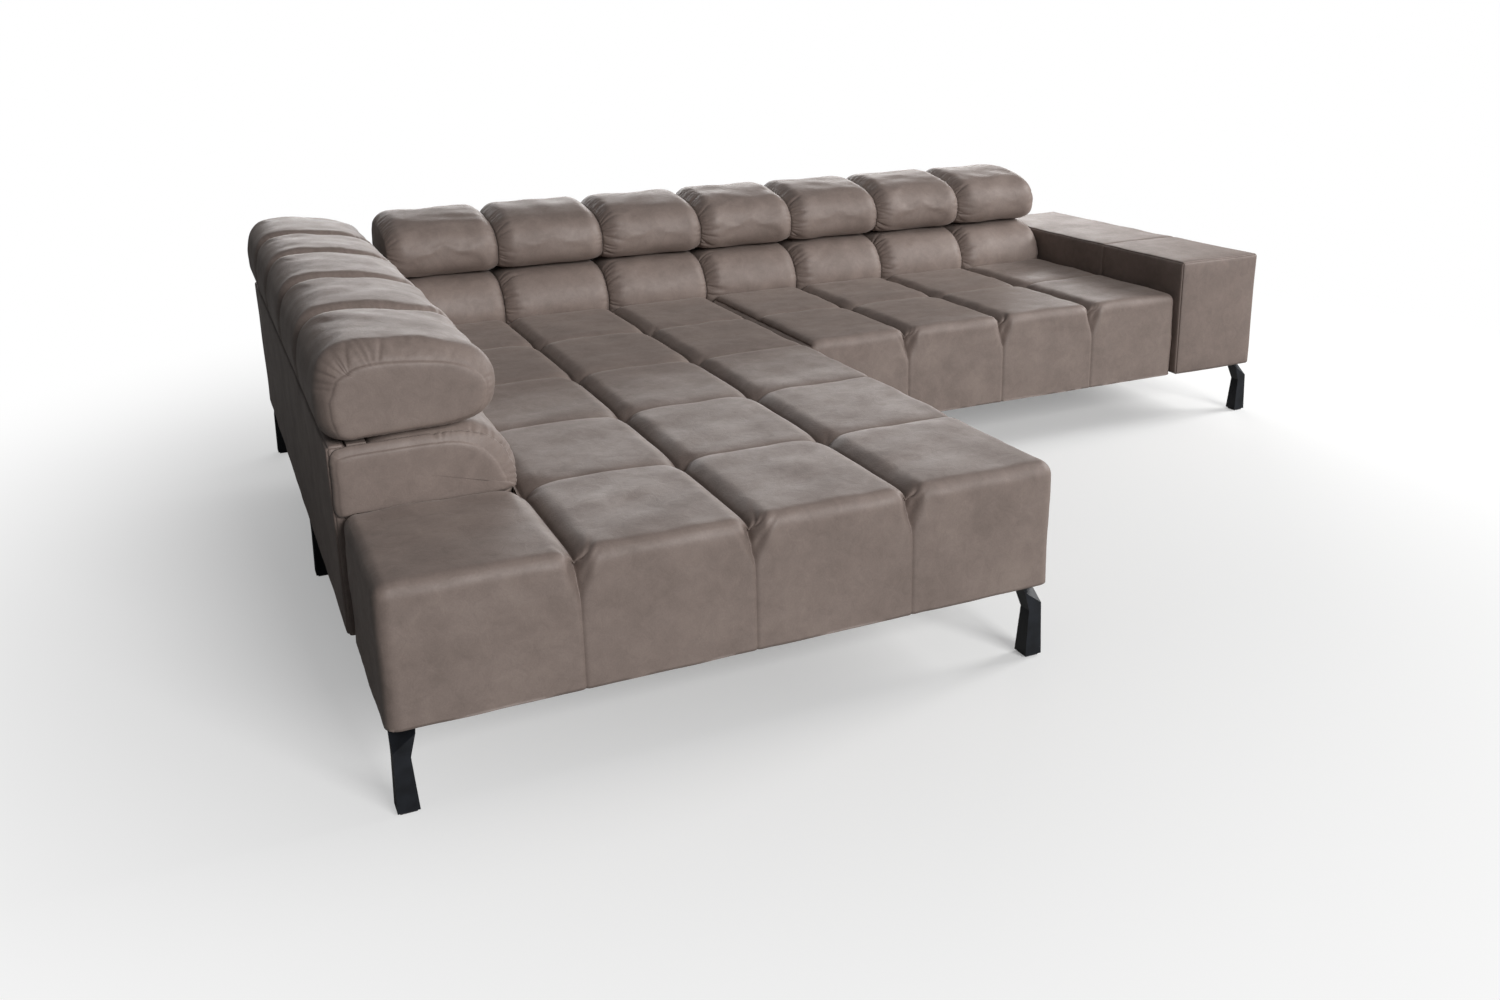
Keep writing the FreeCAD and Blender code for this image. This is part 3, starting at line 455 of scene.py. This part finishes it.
def loaf(name, section, draw, span, to_world, spans, seed, bulge=(0, 0), strength=1.0,
         swell=54 * MM, count=300, uneven=1.8 * MM, plump=2.2, one_ended=False, kind=None):
    """A stuffed loaf from span[0] to span[1] along its row.

    section holds the corners of its full outline as (depth, height). draw gives how far the
    seams are drawn in at the crest, top front, front, underside and rear. spans are the
    stretches of the seam that pucker, strength is how deeply they do, and bulge is how far
    each end piece swells out. swell is the distance in which the band fills out, and plump
    how early it does. Pads of one kind share the wrinkles of one cloth simulation.
    """
    fold_spacing, fold_depth, fold_reach = 15 * MM, 8 * MM * strength, 36 * MM
    groove_depth, groove_width = 2.2 * MM, 2.6 * MM
    loop, spots, around = smooth_loop(section, count)
    normal = outward(loop)
    crest, top, front, under, rear = draw
    reach = loop[:, 0].max() - loop[:, 0].min()
    forward_share = (loop[:, 0] - loop[:, 0].min()) / reach
    high = crest + (top - crest) * forward_share
    inset = (high * np.clip(normal[:, 1], 0, 1) + under * np.clip(-normal[:, 1], 0, 1)
             + front * np.clip(normal[:, 0], 0, 1) + rear * np.clip(-normal[:, 0], 0, 1))
    seam = loop - normal * inset[:, None]
    for _ in range(6):
        seam = (np.roll(seam, 1, axis=0) + seam * 2 + np.roll(seam, -1, axis=0)) / 4
    chance = np.random.default_rng(seed)
    start, stop = span[0] + bulge[0], span[1] - bulge[1]
    away = (band_stations if one_ended else stations)(stop - start)
    folds = [random_folds(chance, [(a * around, b * around, c) for a, b, c in part],
                          fold_spacing, fold_depth, fold_reach) for part in spans]
    rings, plain = [], []
    for distance in away:
        near, far = distance, (1.0 if one_ended else stop - start - distance)
        share = min(near, far) / swell
        full = 1 - (1 - min(share, 1.0)) ** plump
        ring = seam + (loop - seam) * full
        depth = gathers(spots, np.full(count, near), folds[0])
        depth += gathers(spots, np.full(count, far), folds[1])
        depth += groove_depth * math.exp(-(min(near, far) / groove_width) ** 2)
        plain.append(np.column_stack([ring[:, 0], np.full(count, start + distance), ring[:, 1]]))
        ring = ring - normal * depth[:, None]
        rings.append(np.column_stack([ring[:, 0], np.full(count, start + distance), ring[:, 1]]))
    body = np.vstack(rings)
    centre = loop.mean(axis=0)
    caps = []
    for end, (place, out, sign) in enumerate(((start, bulge[0], -1), (stop, bulge[1], 1))):
        edge = rings[0 if end == 0 else -1]
        for share, rise in CAP_STEPS:
            ring = edge.copy()
            ring[:, 0] = centre[0] + (edge[:, 0] - centre[0]) * share
            ring[:, 2] = centre[1] + (edge[:, 2] - centre[1]) * share
            ring[:, 1] = place + sign * max(out, 0.8 * MM) * rise
            caps.append(ring)
        caps.append(np.array([[centre[0], place + sign * max(out, 0.8 * MM), centre[1]]]))
    points = np.vstack([body] + caps)
    soft = np.column_stack([normal[:, 0], np.zeros(count), normal[:, 1]])
    steady = np.maximum(np.clip((loop[:, 0] - 40 * MM) / (60 * MM), 0.1, 1),
                        np.clip(1.5 * normal[:, 1], 0, 1))
    soft *= steady[:, None]
    shift = np.tile(soft, (len(away), 1)) * ripple(body, 95 * MM, seed)[:, None] * uneven
    calm = away if one_ended else np.minimum(away, (stop - start) - away)
    fade = np.repeat(np.clip(calm / (45 * MM), 0, 1), count)
    points[:len(body)] += shift * fade[:, None]
    faces = []
    for ring in range(len(away) - 1):
        for index in range(count):
            following = (index + 1) % count
            a, b = ring * count + index, ring * count + following
            faces.append((a, b, b + count, a + count))
    base = len(body)
    steps = len(CAP_STEPS)
    for end in (0, 1):
        previous = 0 if end == 0 else (len(away) - 1) * count
        for step in range(steps):
            current = base + step * count
            for index in range(count):
                following = (index + 1) % count
                faces.append((previous + index, previous + following,
                              current + following, current + index))
            previous = current
        pole = base + steps * count
        for index in range(count):
            faces.append((previous + index, previous + (index + 1) % count, pole))
        base = pole + 1
    if kind:
        if kind not in wrinkles_of:
            smooth_form = points.copy()
            smooth_form[:len(body)] = np.vstack(plain)
            pinned = np.ones(len(points), bool)
            pinned[count:(len(away) - 1) * count] = False
            wrinkles_of[kind] = pressed(smooth_form, faces, pinned, 7 * MM, 0.05)
        wrinkles = wrinkles_of[kind][:len(body)].reshape(len(away), count, 3) * steady[:, None]
        turned = wrinkles[::-1] * (1, -1, 1)
        own, other = chance.uniform(0.02, 0.26, 2)
        points[:len(body)] += (own * wrinkles + other * turned).reshape(-1, 3)
        points[:, 1] = np.clip(points[:, 1], span[0], span[1])
    world = np.array([to_world(*point) for point in points])
    return make_piece(name, world, faces, cushion_leather)


def left_place(depth, along, height):
    """Left back: depth is measured inwards from its outer line."""
    return left_x + depth, along, height


def main_place(depth, along, height):
    """Main back: depth is measured forwards from its rear line."""
    return along, rear_y - depth, height


REST_SECTION = [(-21, 690), (-22, 655), (-19, 620), (-3, 594), (26, 584), (90, 586), (170, 588),
                (245, 591), (296, 600), (324, 622), (334, 656), (330, 698), (308, 730),
                (264, 752), (204, 766), (135, 775), (72, 777), (22, 768), (-8, 738)]
CUSHION_SECTION = [(68, 480), (68, 560), (92, 580), (160, 586), (228, 585), (280, 577),
                   (322, 558), (352, 524), (366, 478), (361, 434), (342, 392), (300, 345),
                   (190, 332), (90, 334), (70, 380)]
rest_section = [(depth * MM, height * MM) for depth, height in REST_SECTION]
cushion_section = [(depth * MM, height * MM) for depth, height in CUSHION_SECTION]

# %% [markdown]
# The seams run clockwise round the end from the rear: under the pad, up over its nose and back
# along the top. Most puckers sit at the nose's underside and over the crest, and the near side
# of each pad has more of them than the far side. The first pad's front end faces the room, and
# there only the crest's rear corner is gathered. Each pad turns with its steel frame.

# %% Headrests
strong = [(0.02, 0.2, 0.35), (0.2, 0.4, 0.8), (0.42, 0.64, 1.0), (0.64, 0.98, 0.4)]
mild = [(0.05, 0.3, 0.3), (0.45, 0.62, 0.45), (0.7, 0.9, 0.25)]
first_end = [(0.1, 0.3, 0.15), (0.46, 0.58, 0.4), (0.6, 0.8, 0.12), (0.8, 0.99, 0.75)]
soft_pieces = []
for number, name in enumerate(left_names + main_names):
    low, high = low_high(f"{name}_headrest")
    is_main = name in main_names
    axis = 0 if is_main else 1
    span = (low[axis], high[axis])
    ends = (7 * MM if name == "left_1" else 0, 7 * MM if name == "main_7" else 0)
    draw = (30, 24, 28, 6, 24) if is_main else (42, 24, 22, 6, 24)
    near_end = first_end if name == "left_1" else strong
    pad = loaf(f"{name}_headrest_pad", rest_section, [v * MM for v in draw], span,
               main_place if is_main else left_place, (near_end, mild), 40 + number, ends,
               kind="main rest" if is_main else "left rest")
    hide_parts(f"{name}_headrest")
    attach(pad, f"{name}_headrest_body")
    soft_pieces.append(pad)
print("headrests:", len(soft_pieces), "faces each:", len(soft_pieces[0].data.polygons))

# %% [markdown]
# The lower cushions are the same loaves with a taller front. Only their fronts and tops show:
# the seat hides the foot.

# %% Lower back cushions
cushion_strong = [(0.3, 0.5, 1.0), (0.5, 0.68, 0.5)]
cushion_mild = [(0.3, 0.5, 0.35)]
for number, name in enumerate(left_names[:4] + main_names):
    low, high = low_high(f"{name}_back_cushion")
    is_main = name in main_names
    axis = 0 if is_main else 1
    pad = loaf(f"{name}_back_pad", cushion_section, [v * MM for v in (24, 24, 25, 2, 2)],
               (low[axis], high[axis]), main_place if is_main else left_place,
               (cushion_strong, cushion_mild), 80 + number, swell=50 * MM, kind="back")
    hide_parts(f"{name}_back_cushion")
    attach(pad, "sofa_body")
    soft_pieces.append(pad)
print("back cushions:", len(soft_pieces) - 12)

# %% [markdown]
# ## Blocks with rounded edges
# The seats, the armrest and the corner block are boxes. Their net is a grid on every side of
# the box, and each point is then drawn onto the rounded box: first to the nearest point of a
# smaller box inside, and from there outwards by the radius.

# %% Grid blocks


def spaced(lines, step, widths):
    """Grid places from the first line to the last: dense beside each line, step apart elsewhere."""
    places = []
    for first, last in zip(lines[:-1], lines[1:]):
        room = (last - first) / 2
        offsets = [width for width in widths if width < room * 0.85]
        inner_first, inner_last = first + offsets[-1], last - offsets[-1]
        count = max(2, round((inner_last - inner_first) / step) + 1)
        places += [first] + [first + offset for offset in offsets[:-1]]
        places += list(np.linspace(inner_first, inner_last, count))
        places += [last - offset for offset in offsets[-2::-1]]
    places.append(lines[-1])
    return np.array(places)


def grid_block(xs, ys, zs, keep=None):
    """A closed net over a block: keep(x, y) says which cells of the plan belong to it."""
    wide, deep, tall = len(xs) - 1, len(ys) - 1, len(zs) - 1
    inside = np.ones((wide, deep), bool)
    if keep is not None:
        for i in range(wide):
            for j in range(deep):
                inside[i, j] = keep((xs[i] + xs[i + 1]) / 2, (ys[j] + ys[j + 1]) / 2)
    numbers, points, faces = {}, [], []

    def spot(i, j, k):
        key = (i, j, k)
        if key not in numbers:
            numbers[key] = len(points)
            points.append((xs[i], ys[j], zs[k]))
        return numbers[key]

    def solid(i, j):
        return 0 <= i < wide and 0 <= j < deep and inside[i, j]

    for i in range(wide):
        for j in range(deep):
            if not inside[i, j]:
                continue
            faces.append([spot(i, j, tall), spot(i + 1, j, tall), spot(i + 1, j + 1, tall),
                          spot(i, j + 1, tall)])
            faces.append([spot(i, j, 0), spot(i, j + 1, 0), spot(i + 1, j + 1, 0), spot(i + 1, j, 0)])
            for di, dj, first, second in ((-1, 0, (i, j + 1), (i, j)), (1, 0, (i + 1, j), (i + 1, j + 1)),
                                          (0, -1, (i, j), (i + 1, j)), (0, 1, (i + 1, j + 1), (i, j + 1))):
                if not solid(i + di, j + dj):
                    for k in range(tall):
                        faces.append([spot(*first, k), spot(*second, k), spot(*second, k + 1),
                                      spot(*first, k + 1)])
    return np.array(points), faces


def rounded(points, low, high, radius, below=False):
    """Points drawn onto a box with rounded edges, and the outward direction at each."""
    inner_low, inner_high = np.array(low) + radius, np.array(high) - radius
    if not below:
        inner_low[2] = low[2] - 1
    core = np.clip(points, inner_low, inner_high)
    out = points - core
    size = np.linalg.norm(out, axis=1)
    flat = size < 1e-9
    out[flat] = (0, 0, -1)
    size[flat] = 1
    direction = out / size[:, None]
    moved = np.where(flat[:, None], points, core + direction * radius)
    return moved, direction, flat


def seam_distance(values, lines):
    """Distance of each value to the nearest of the lines, and that line's number."""
    gaps = np.abs(values[:, None] - np.array(lines)[None, :])
    return gaps.min(axis=1), gaps.argmin(axis=1)


def channel(distance, depth, reach, narrow=0.2):
    """Depth of a sewn channel: two rounded flanks that meet in a narrow crease."""
    share = np.clip(1 - distance / reach, 0, 1)
    return depth * ((1 - narrow) * share ** 2.3 + narrow * np.exp(-(distance / (3.5 * MM)) ** 2))


# %% [markdown]
# ## The tufted seats
# The seat's leather is sewn through to the foam along every line of the grid. The lines that
# run to the back are deep channels, the cross lines shallow creases, and where two lines cross
# the leather is drawn down to a point. At the front edge each channel opens into a short
# V-shaped pinch and goes on down the front as a fine upright seam.

# %% Folds of the seats


def seat_folds(points, low, high, columns, rows, seed):
    """Depth of the small folds at the crossings and beside the V at the front edge."""
    chance = np.random.default_rng(seed + 50)
    depth = np.zeros(len(points))
    unrolled = points[:, 1] - low[1] - (high[2] - points[:, 2])
    for column in columns[1:-1]:
        for row in rows[1:-1]:
            for _ in range(5):
                angle = chance.uniform(0, 2 * math.pi)
                along = np.array([math.cos(angle), math.sin(angle)])
                offset = points[:, :2] - (column, row)
                run = offset @ along
                side = offset @ np.array([-along[1], along[0]])
                size = chance.uniform(1.2, 2.6) * MM
                depth += size * np.exp(-(side / (4.5 * MM)) ** 2 - ((run - 26 * MM) / (17 * MM)) ** 2)
        for sign in (-1, 1):
            for fold in range(4):
                tilt = sign * chance.uniform(0.22, 0.65)
                start = -chance.uniform(74, 96) * MM + fold * 22 * MM
                run = unrolled - start
                side = points[:, 0] - column - tilt * run
                size = chance.uniform(3, 6) * MM
                reach = chance.uniform(30, 50) * MM
                depth += (size * np.exp(-(side / (4.2 * MM)) ** 2 - ((run - 0.55 * reach) / reach) ** 2)
                          * (run > 0) * (np.abs(unrolled) < 120 * MM))
        notch = np.exp(-((unrolled + 20 * MM) / (46 * MM)) ** 2)
        across = np.abs(points[:, 0] - column)
        depth += 16 * MM * notch * np.clip(1 - across / (28 * MM), 0, 1) ** 1.3
    return depth * (points[:, 2] > low[2] + 30 * MM)


# %% [markdown]
# Depth is counted inwards from the rounded block. It is the sum of the channels, the creases,
# the dimples where they cross, the slope towards the sofa's other half and the small folds.
# Down the front face the channels lose their width and end as seams, which pinch takes care of.

# %% Sewing the squares


def tufted(points, low, high, columns, rows, seed, joint):
    """Draws the points of a seat block into its sewn form; joint is the other half's edge."""
    rim, seam_drop = 30 * MM, 74 * MM
    joint_depth, joint_reach = 22 * MM, 62 * MM
    moved, direction, flat = rounded(points, low, high, rim)
    along_x, _ = seam_distance(points[:, 0], columns[1:-1])
    along_y, _ = seam_distance(points[:, 1], rows[1:-1])
    upward = np.clip(direction[:, 2], 0, 1) * ~flat
    forward_face = np.clip(-direction[:, 1], 0, 1) * ~flat
    side_face = np.abs(direction[:, 0]) * ~flat
    below_edge = np.clip(high[2] - points[:, 2], 0, None)
    pinch = np.exp(-(below_edge / seam_drop) ** 3)
    depth = np.zeros(len(points))
    column_depth = 3.5 * MM + 25 * MM * pinch
    column_reach = 10 * MM + 34 * MM * pinch
    crossing = np.hypot(along_x, along_y)
    facing = np.clip(upward + forward_face, 0, 1)
    depth += channel(along_x, 1.0, column_reach) * column_depth * facing
    row_depth = 1.6 * MM + 3.4 * MM * pinch
    depth += channel(along_y, 1.0, 52 * MM, 0.1) * row_depth * np.clip(upward + side_face, 0, 1)
    beside = np.abs(points[:, 0] - joint[0])
    behind = np.clip((points[:, 1] - joint[1]) / (60 * MM), 0, 1)
    depth += channel(beside, 1.0, joint_reach) * joint_depth * behind * upward
    depth += 8 * MM * np.exp(-(crossing / (46 * MM)) ** 2) * upward
    depth += 5 * MM * np.exp(-(crossing / (14 * MM)) ** 2) * upward
    depth += np.clip(1 - along_x / (125 * MM), 0, 1) ** 2 * 2.5 * MM * upward
    depth += seat_folds(points, low, high, columns, rows, seed)
    uneven = ripple(points, 120 * MM, seed) * 1.6 * MM + ripple(points, 45 * MM, seed + 1) * 0.5 * MM
    calm = np.clip(along_x / (30 * MM), 0, 1)
    depth -= uneven * calm * ~flat
    return moved - direction * depth[:, None]


# %% [markdown]
# The net's lines stand closest at the sewn columns, where the leather bends most. The long
# seat's plan leaves out the corner behind its first row, which belongs to the left back.

# %% Seat cushions
seam_widths = [v * MM for v in (1.2, 3, 5.5, 8.5, 12, 15.5, 19, 23, 27, 31, 35, 40, 45, 51, 58)]
row_widths = [v * MM for v in (1.5, 4, 7.5, 12, 18, 26, 36, 48)]


def seat(name, node, low, high, columns, rows, seed, joint, keep=None):
    """A seat cushion in place of its CAD node; keep says which part of the plan it covers."""
    drop = [0, 3, 7, 11, 15, 19, 23, 27, 32, 37, 43, 49, 56, 63, 71, 79, 88]
    zs = np.array([low[2]] + list(np.linspace(low[2] + 6 * MM, high[2] - 100 * MM, 10))
                  + [high[2] - v * MM for v in drop[::-1]])
    xs = spaced(columns, 17 * MM, seam_widths)
    ys = spaced(rows, 17 * MM, row_widths)
    points, faces = grid_block(xs, ys, zs, keep)
    piece = make_piece(name, tufted(points, low, high, columns, rows, seed, joint), faces,
                       cushion_leather)
    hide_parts(node)
    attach(piece, "sofa_body")
    print(name, "faces:", len(piece.data.polygons))


notch_x = low_high("left_1_back_cushion")[1][0] - 12 * MM
notch_y = row_lines[1] - 2 * MM
chaise_columns = column_lines[:4] + [chaise_high[0]]
chaise_rows = row_lines[:5] + [chaise_high[1]]


def chaise_cell(x, y):
    return x > notch_x or y < notch_y


seat("chaise_seat", "chaise_seat_cushion", chaise_low, chaise_high, chaise_columns,
     chaise_rows, 7, (chaise_high[0], bench_low[1]), chaise_cell)
bench_columns = [bench_low[0]] + column_lines[5:8] + [bench_high[0]]
bench_rows = [bench_low[1], row_lines[4], bench_high[1]]
seat("bench_seat", "bench_seat_cushion", bench_low, bench_high, bench_columns, bench_rows,
     19, (bench_low[0], bench_low[1] - 60 * MM))

# %% [markdown]
# ## Armrest, backs and end panel
# The armrest is a boarded box under a thin layer of wadding, so its sides are nearly flat and
# only its edges are soft. The leather is sewn along the edges and once across the top.

# %% Covered boxes


def covered_block(name, nodes, low, high, radius, seed, material, cross=None,
                  wadding=0.0):
    """A leather box in place of nodes: cross is a seam over it, wadding softens its edges."""
    groove_depth = 2.2 * MM
    lines_x, lines_y = [low[0], high[0]], [low[1], high[1]]
    if cross is not None:
        lines_y = [low[1], cross, high[1]]
    widths = [v * MM for v in (1.5, 4, 7, 11, 16, 24)]
    xs = spaced(lines_x, 24 * MM, widths)
    ys = spaced(lines_y, 24 * MM, widths)
    zs = spaced([low[2], high[2]], 24 * MM, widths)
    points, faces = grid_block(xs, ys, zs)
    moved, direction, flat = rounded(points, low, high, radius, below=True)
    depth = -ripple(points, 150 * MM, seed) * 1.2 * MM
    steep = np.sort(np.abs(direction) * ~flat[:, None], axis=1)
    on_edge = np.exp(-((steep[:, 2] - steep[:, 1]) / 0.22) ** 2) * (steep[:, 1] > 0.4)
    depth += groove_depth * on_edge
    from_edges = np.sort(np.minimum(moved - low, high - moved), axis=1)[:, 1]
    depth += wadding * np.exp(-from_edges / (26 * MM))
    if cross is not None:
        depth += channel(np.abs(points[:, 1] - cross), 3.5 * MM, 18 * MM)
    inside = np.clip(moved - direction * depth[:, None], low, high)
    piece = make_piece(name, inside, faces, material)
    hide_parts(*nodes)
    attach(piece, "sofa_body")


arm_low, arm_high = low_high("armrest_cover")
covered_block("armrest", ["armrest_cover"], arm_low, arm_high, 12 * MM, 31, body_leather,
              cross=row_lines[4], wadding=6 * MM)
print("armrest covered")

# %% [markdown]
# Both backs are thin boards with leather on the outside. Under the headrests the board ends in
# a lip, which has a gap for every ratchet bracket, so it is a row of short covered boards. Each
# one is a cube stretched to its place; the cubes are joined and their edges bevelled.

# %% Back panels and lips
shell_in, lip_low = 28 * MM, 549 * MM
slot_room = (7 * MM, 1 * MM)
for name, names in (("left_back_shell", left_names), ("main_back_shell", main_names)):
    is_left = name == "left_back_shell"
    low, high = low_high(name)
    lip_from, lip_to = low.copy(), high.copy()
    lip_from[2] = lip_low
    if is_left:
        high[0] = lip_from[0] = left_x + shell_in
        lip_to[1] = rear_y - shell_in - 2 * MM
    else:
        low[1] = lip_to[1] = rear_y - shell_in
        lip_from[0] = left_x + 68 * MM
    covered_block(name.replace("_shell", "_panel"), [name], low, high, 12 * MM, 33, body_leather)
    axis = 1 if is_left else 0
    middles = [sum(low_high(f"{rest}_headrest")[end][axis] for end in (0, 1)) / 2 for rest in names]
    cuts = [place + shift for place in middles for shift in (-slot_room[0], slot_room[1])]
    along = [lip_from[axis]] + cuts + [lip_to[axis]]
    lip_to[2] = high[2]
    boards = []
    for first, last in zip(along[::2], along[1::2]):
        board_from, board_to = lip_from.copy(), lip_to.copy()
        board_from[axis], board_to[axis] = first, last
        bpy.ops.mesh.primitive_cube_add(size=1, location=(board_from + board_to) / 2,
                                        scale=board_to - board_from)
        boards.append(bpy.context.active_object)
    bpy.ops.object.select_all(action="DESELECT")
    for board in boards:
        board.select_set(True)
    lip = bpy.context.view_layer.objects.active = boards[0]
    bpy.ops.object.join()
    bpy.ops.object.transform_apply(location=True, rotation=True, scale=True)
    lip.name = lip.data.name = name.replace("_shell", "_lip")
    lip.data.materials.append(body_leather)
    bevel = lip.modifiers.new("soft_edges", "BEVEL")
    bevel.width = 1.5 * MM
    bevel.segments = 2
    bpy.ops.object.modifier_apply(modifier=bevel.name)
    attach(lip, "sofa_body")

# %% [markdown]
# The left back is closed towards the front by a flat padded panel. Its seam follows the
# cushion's outline a little further in, and a narrow band joins it to the cushion behind.

# %% End panel
END_SECTION = [(-9, 500), (-9, 548), (-2, 569), (22, 577), (100, 579), (190, 580), (255, 577),
               (305, 562), (340, 530), (359, 488), (363, 458), (354, 436), (300, 430), (150, 430),
               (20, 430), (-8, 440)]
end_section = [(depth * MM, height * MM) for depth, height in END_SECTION]
end_low, end_high = low_high("left_back_end_panel")
end_span = (end_low[1] + 5 * MM, low_high("left_1_back_cushion")[0][1] - 0.5 * MM)
end_spans = ([(0.0, 0.1, 0.5), (0.28, 0.62, 1.0)], [])
end_panel = loaf("left_back_end", end_section, [v * MM for v in (16, 18, 26, 2, 9)], end_span,
                 left_place, end_spans, 35, (5 * MM, 0), strength=0.45, swell=19 * MM, uneven=0.8 * MM,
                 one_ended=True)
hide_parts("left_back_end_panel")
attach(end_panel, "sofa_body")
low, high = low_high("corner_back_cushion")
covered_block("corner_back_block", ["corner_back_cushion"], low, high, 20 * MM, 37,
              cushion_leather)
print("covered blocks: armrest, two back panels, end panel and corner block")

# %% [markdown]
# ## Floor, light and background
# The studio has a pale floor that keeps the sofa's shadow, and a white room that only the
# camera sees. A wide soft lamp far in front lights near and far cushions almost alike, and
# stands so far right that the sides that face left fall into shade. A second one on the right
# brightens the squares' rims, and a low strip behind draws a silky line along the crests.

# %% Studio
bpy.ops.mesh.primitive_plane_add(size=60, location=(0, 0, 0))
floor = bpy.context.active_object
floor.name = "studio_floor"
floor_material, floor_tree, floor_shader, floor_place = new_material("matt_white_floor")
floor_shader.inputs["Roughness"].default_value = 0.95
floor_shader.inputs["Specular IOR Level"].default_value = 0.1
distance = add(floor_tree, "ShaderNodeVectorMath", operation="LENGTH", links={0: floor_place})
far_share = add(floor_tree, "ShaderNodeMapRange", links={"Value": distance.outputs["Value"]},
                interpolation_type="SMOOTHSTEP",
                inputs={"From Min": 1.0, "From Max": 3.4, "To Min": 0.25, "To Max": 1.0})
floor_paths = add(floor_tree, "ShaderNodeLightPath")
floor_seen = add(floor_tree, "ShaderNodeMath", operation="MAXIMUM",
                 links={0: floor_paths.outputs["Is Camera Ray"],
                        1: floor_paths.outputs["Is Transmission Ray"]})
floor_colour = add(floor_tree, "ShaderNodeMix", data_type="RGBA",
                   links={0: floor_seen.outputs[0]})
floor_colour.inputs[6].default_value = linear("#8f8f8e")
floor_colour.inputs[7].default_value = linear("#f6f6f5")
floor_tree.links.new(floor_colour.outputs[2], floor_shader.inputs["Base Color"])
fade = add(floor_tree, "ShaderNodeMath", operation="MULTIPLY",
           links={0: far_share.outputs["Result"], 1: floor_seen.outputs[0]})
glow = add(floor_tree, "ShaderNodeEmission", inputs={"Color": linear("#ffffff"), "Strength": 1.0})
floor_mix = add(floor_tree, "ShaderNodeMixShader",
                links={0: fade.outputs[0], 1: floor_shader.outputs["BSDF"], 2: glow.outputs[0]})
floor_end = [node for node in floor_tree.nodes if node.bl_idname == "ShaderNodeOutputMaterial"][0]
floor_tree.links.new(floor_mix.outputs[0], floor_end.inputs["Surface"])
floor.data.materials.append(floor_material)


def softbox(name, place, target, size, power, colour="#ffffff"):
    data = bpy.data.lights.new(name, "AREA")
    data.shape = "RECTANGLE"
    data.size, data.size_y = size
    data.energy = power
    data.color = linear(colour)[:3]
    lamp = bpy.data.objects.new(name, data)
    bpy.context.scene.collection.objects.link(lamp)
    lamp.location = place
    lamp.rotation_euler = (Vector(target) - Vector(place)).to_track_quat("-Z", "Y").to_euler()
    return lamp


softbox("front_softbox", (1.9, -10.8, 5.2), (0.0, 0.4, 0.4), (5.0, 4.0), 1130)
softbox("right_softbox", (5.0, -0.6, 2.6), (0.2, 0.3, 0.4), (2.0, 1.8), 185)
softbox("rear_strip", (1.4, 4.7, 1.75), (0.2, 0.8, 0.75), (6.4, 0.6), 150)

world = bpy.data.worlds.new("studio_room")
bpy.context.scene.world = world
world.use_nodes = True
world.node_tree.nodes.clear()
paths = add(world.node_tree, "ShaderNodeLightPath")
seen = add(world.node_tree, "ShaderNodeMath", operation="MAXIMUM",
           links={0: paths.outputs["Is Camera Ray"], 1: paths.outputs["Is Transmission Ray"]})
room_light = add(world.node_tree, "ShaderNodeBackground",
                 inputs={"Color": linear("#dfe2e6"), "Strength": 0.14})
white = add(world.node_tree, "ShaderNodeBackground",
            inputs={"Color": linear("#ffffff"), "Strength": 1.0})
mixed = add(world.node_tree, "ShaderNodeMixShader",
            links={0: seen.outputs[0], 1: room_light.outputs[0], 2: white.outputs[0]})
add(world.node_tree, "ShaderNodeOutputWorld", links={"Surface": mixed.outputs[0]})
bpy.context.scene.view_settings.view_transform = "Standard"
print("studio: floor, three softboxes, white room")
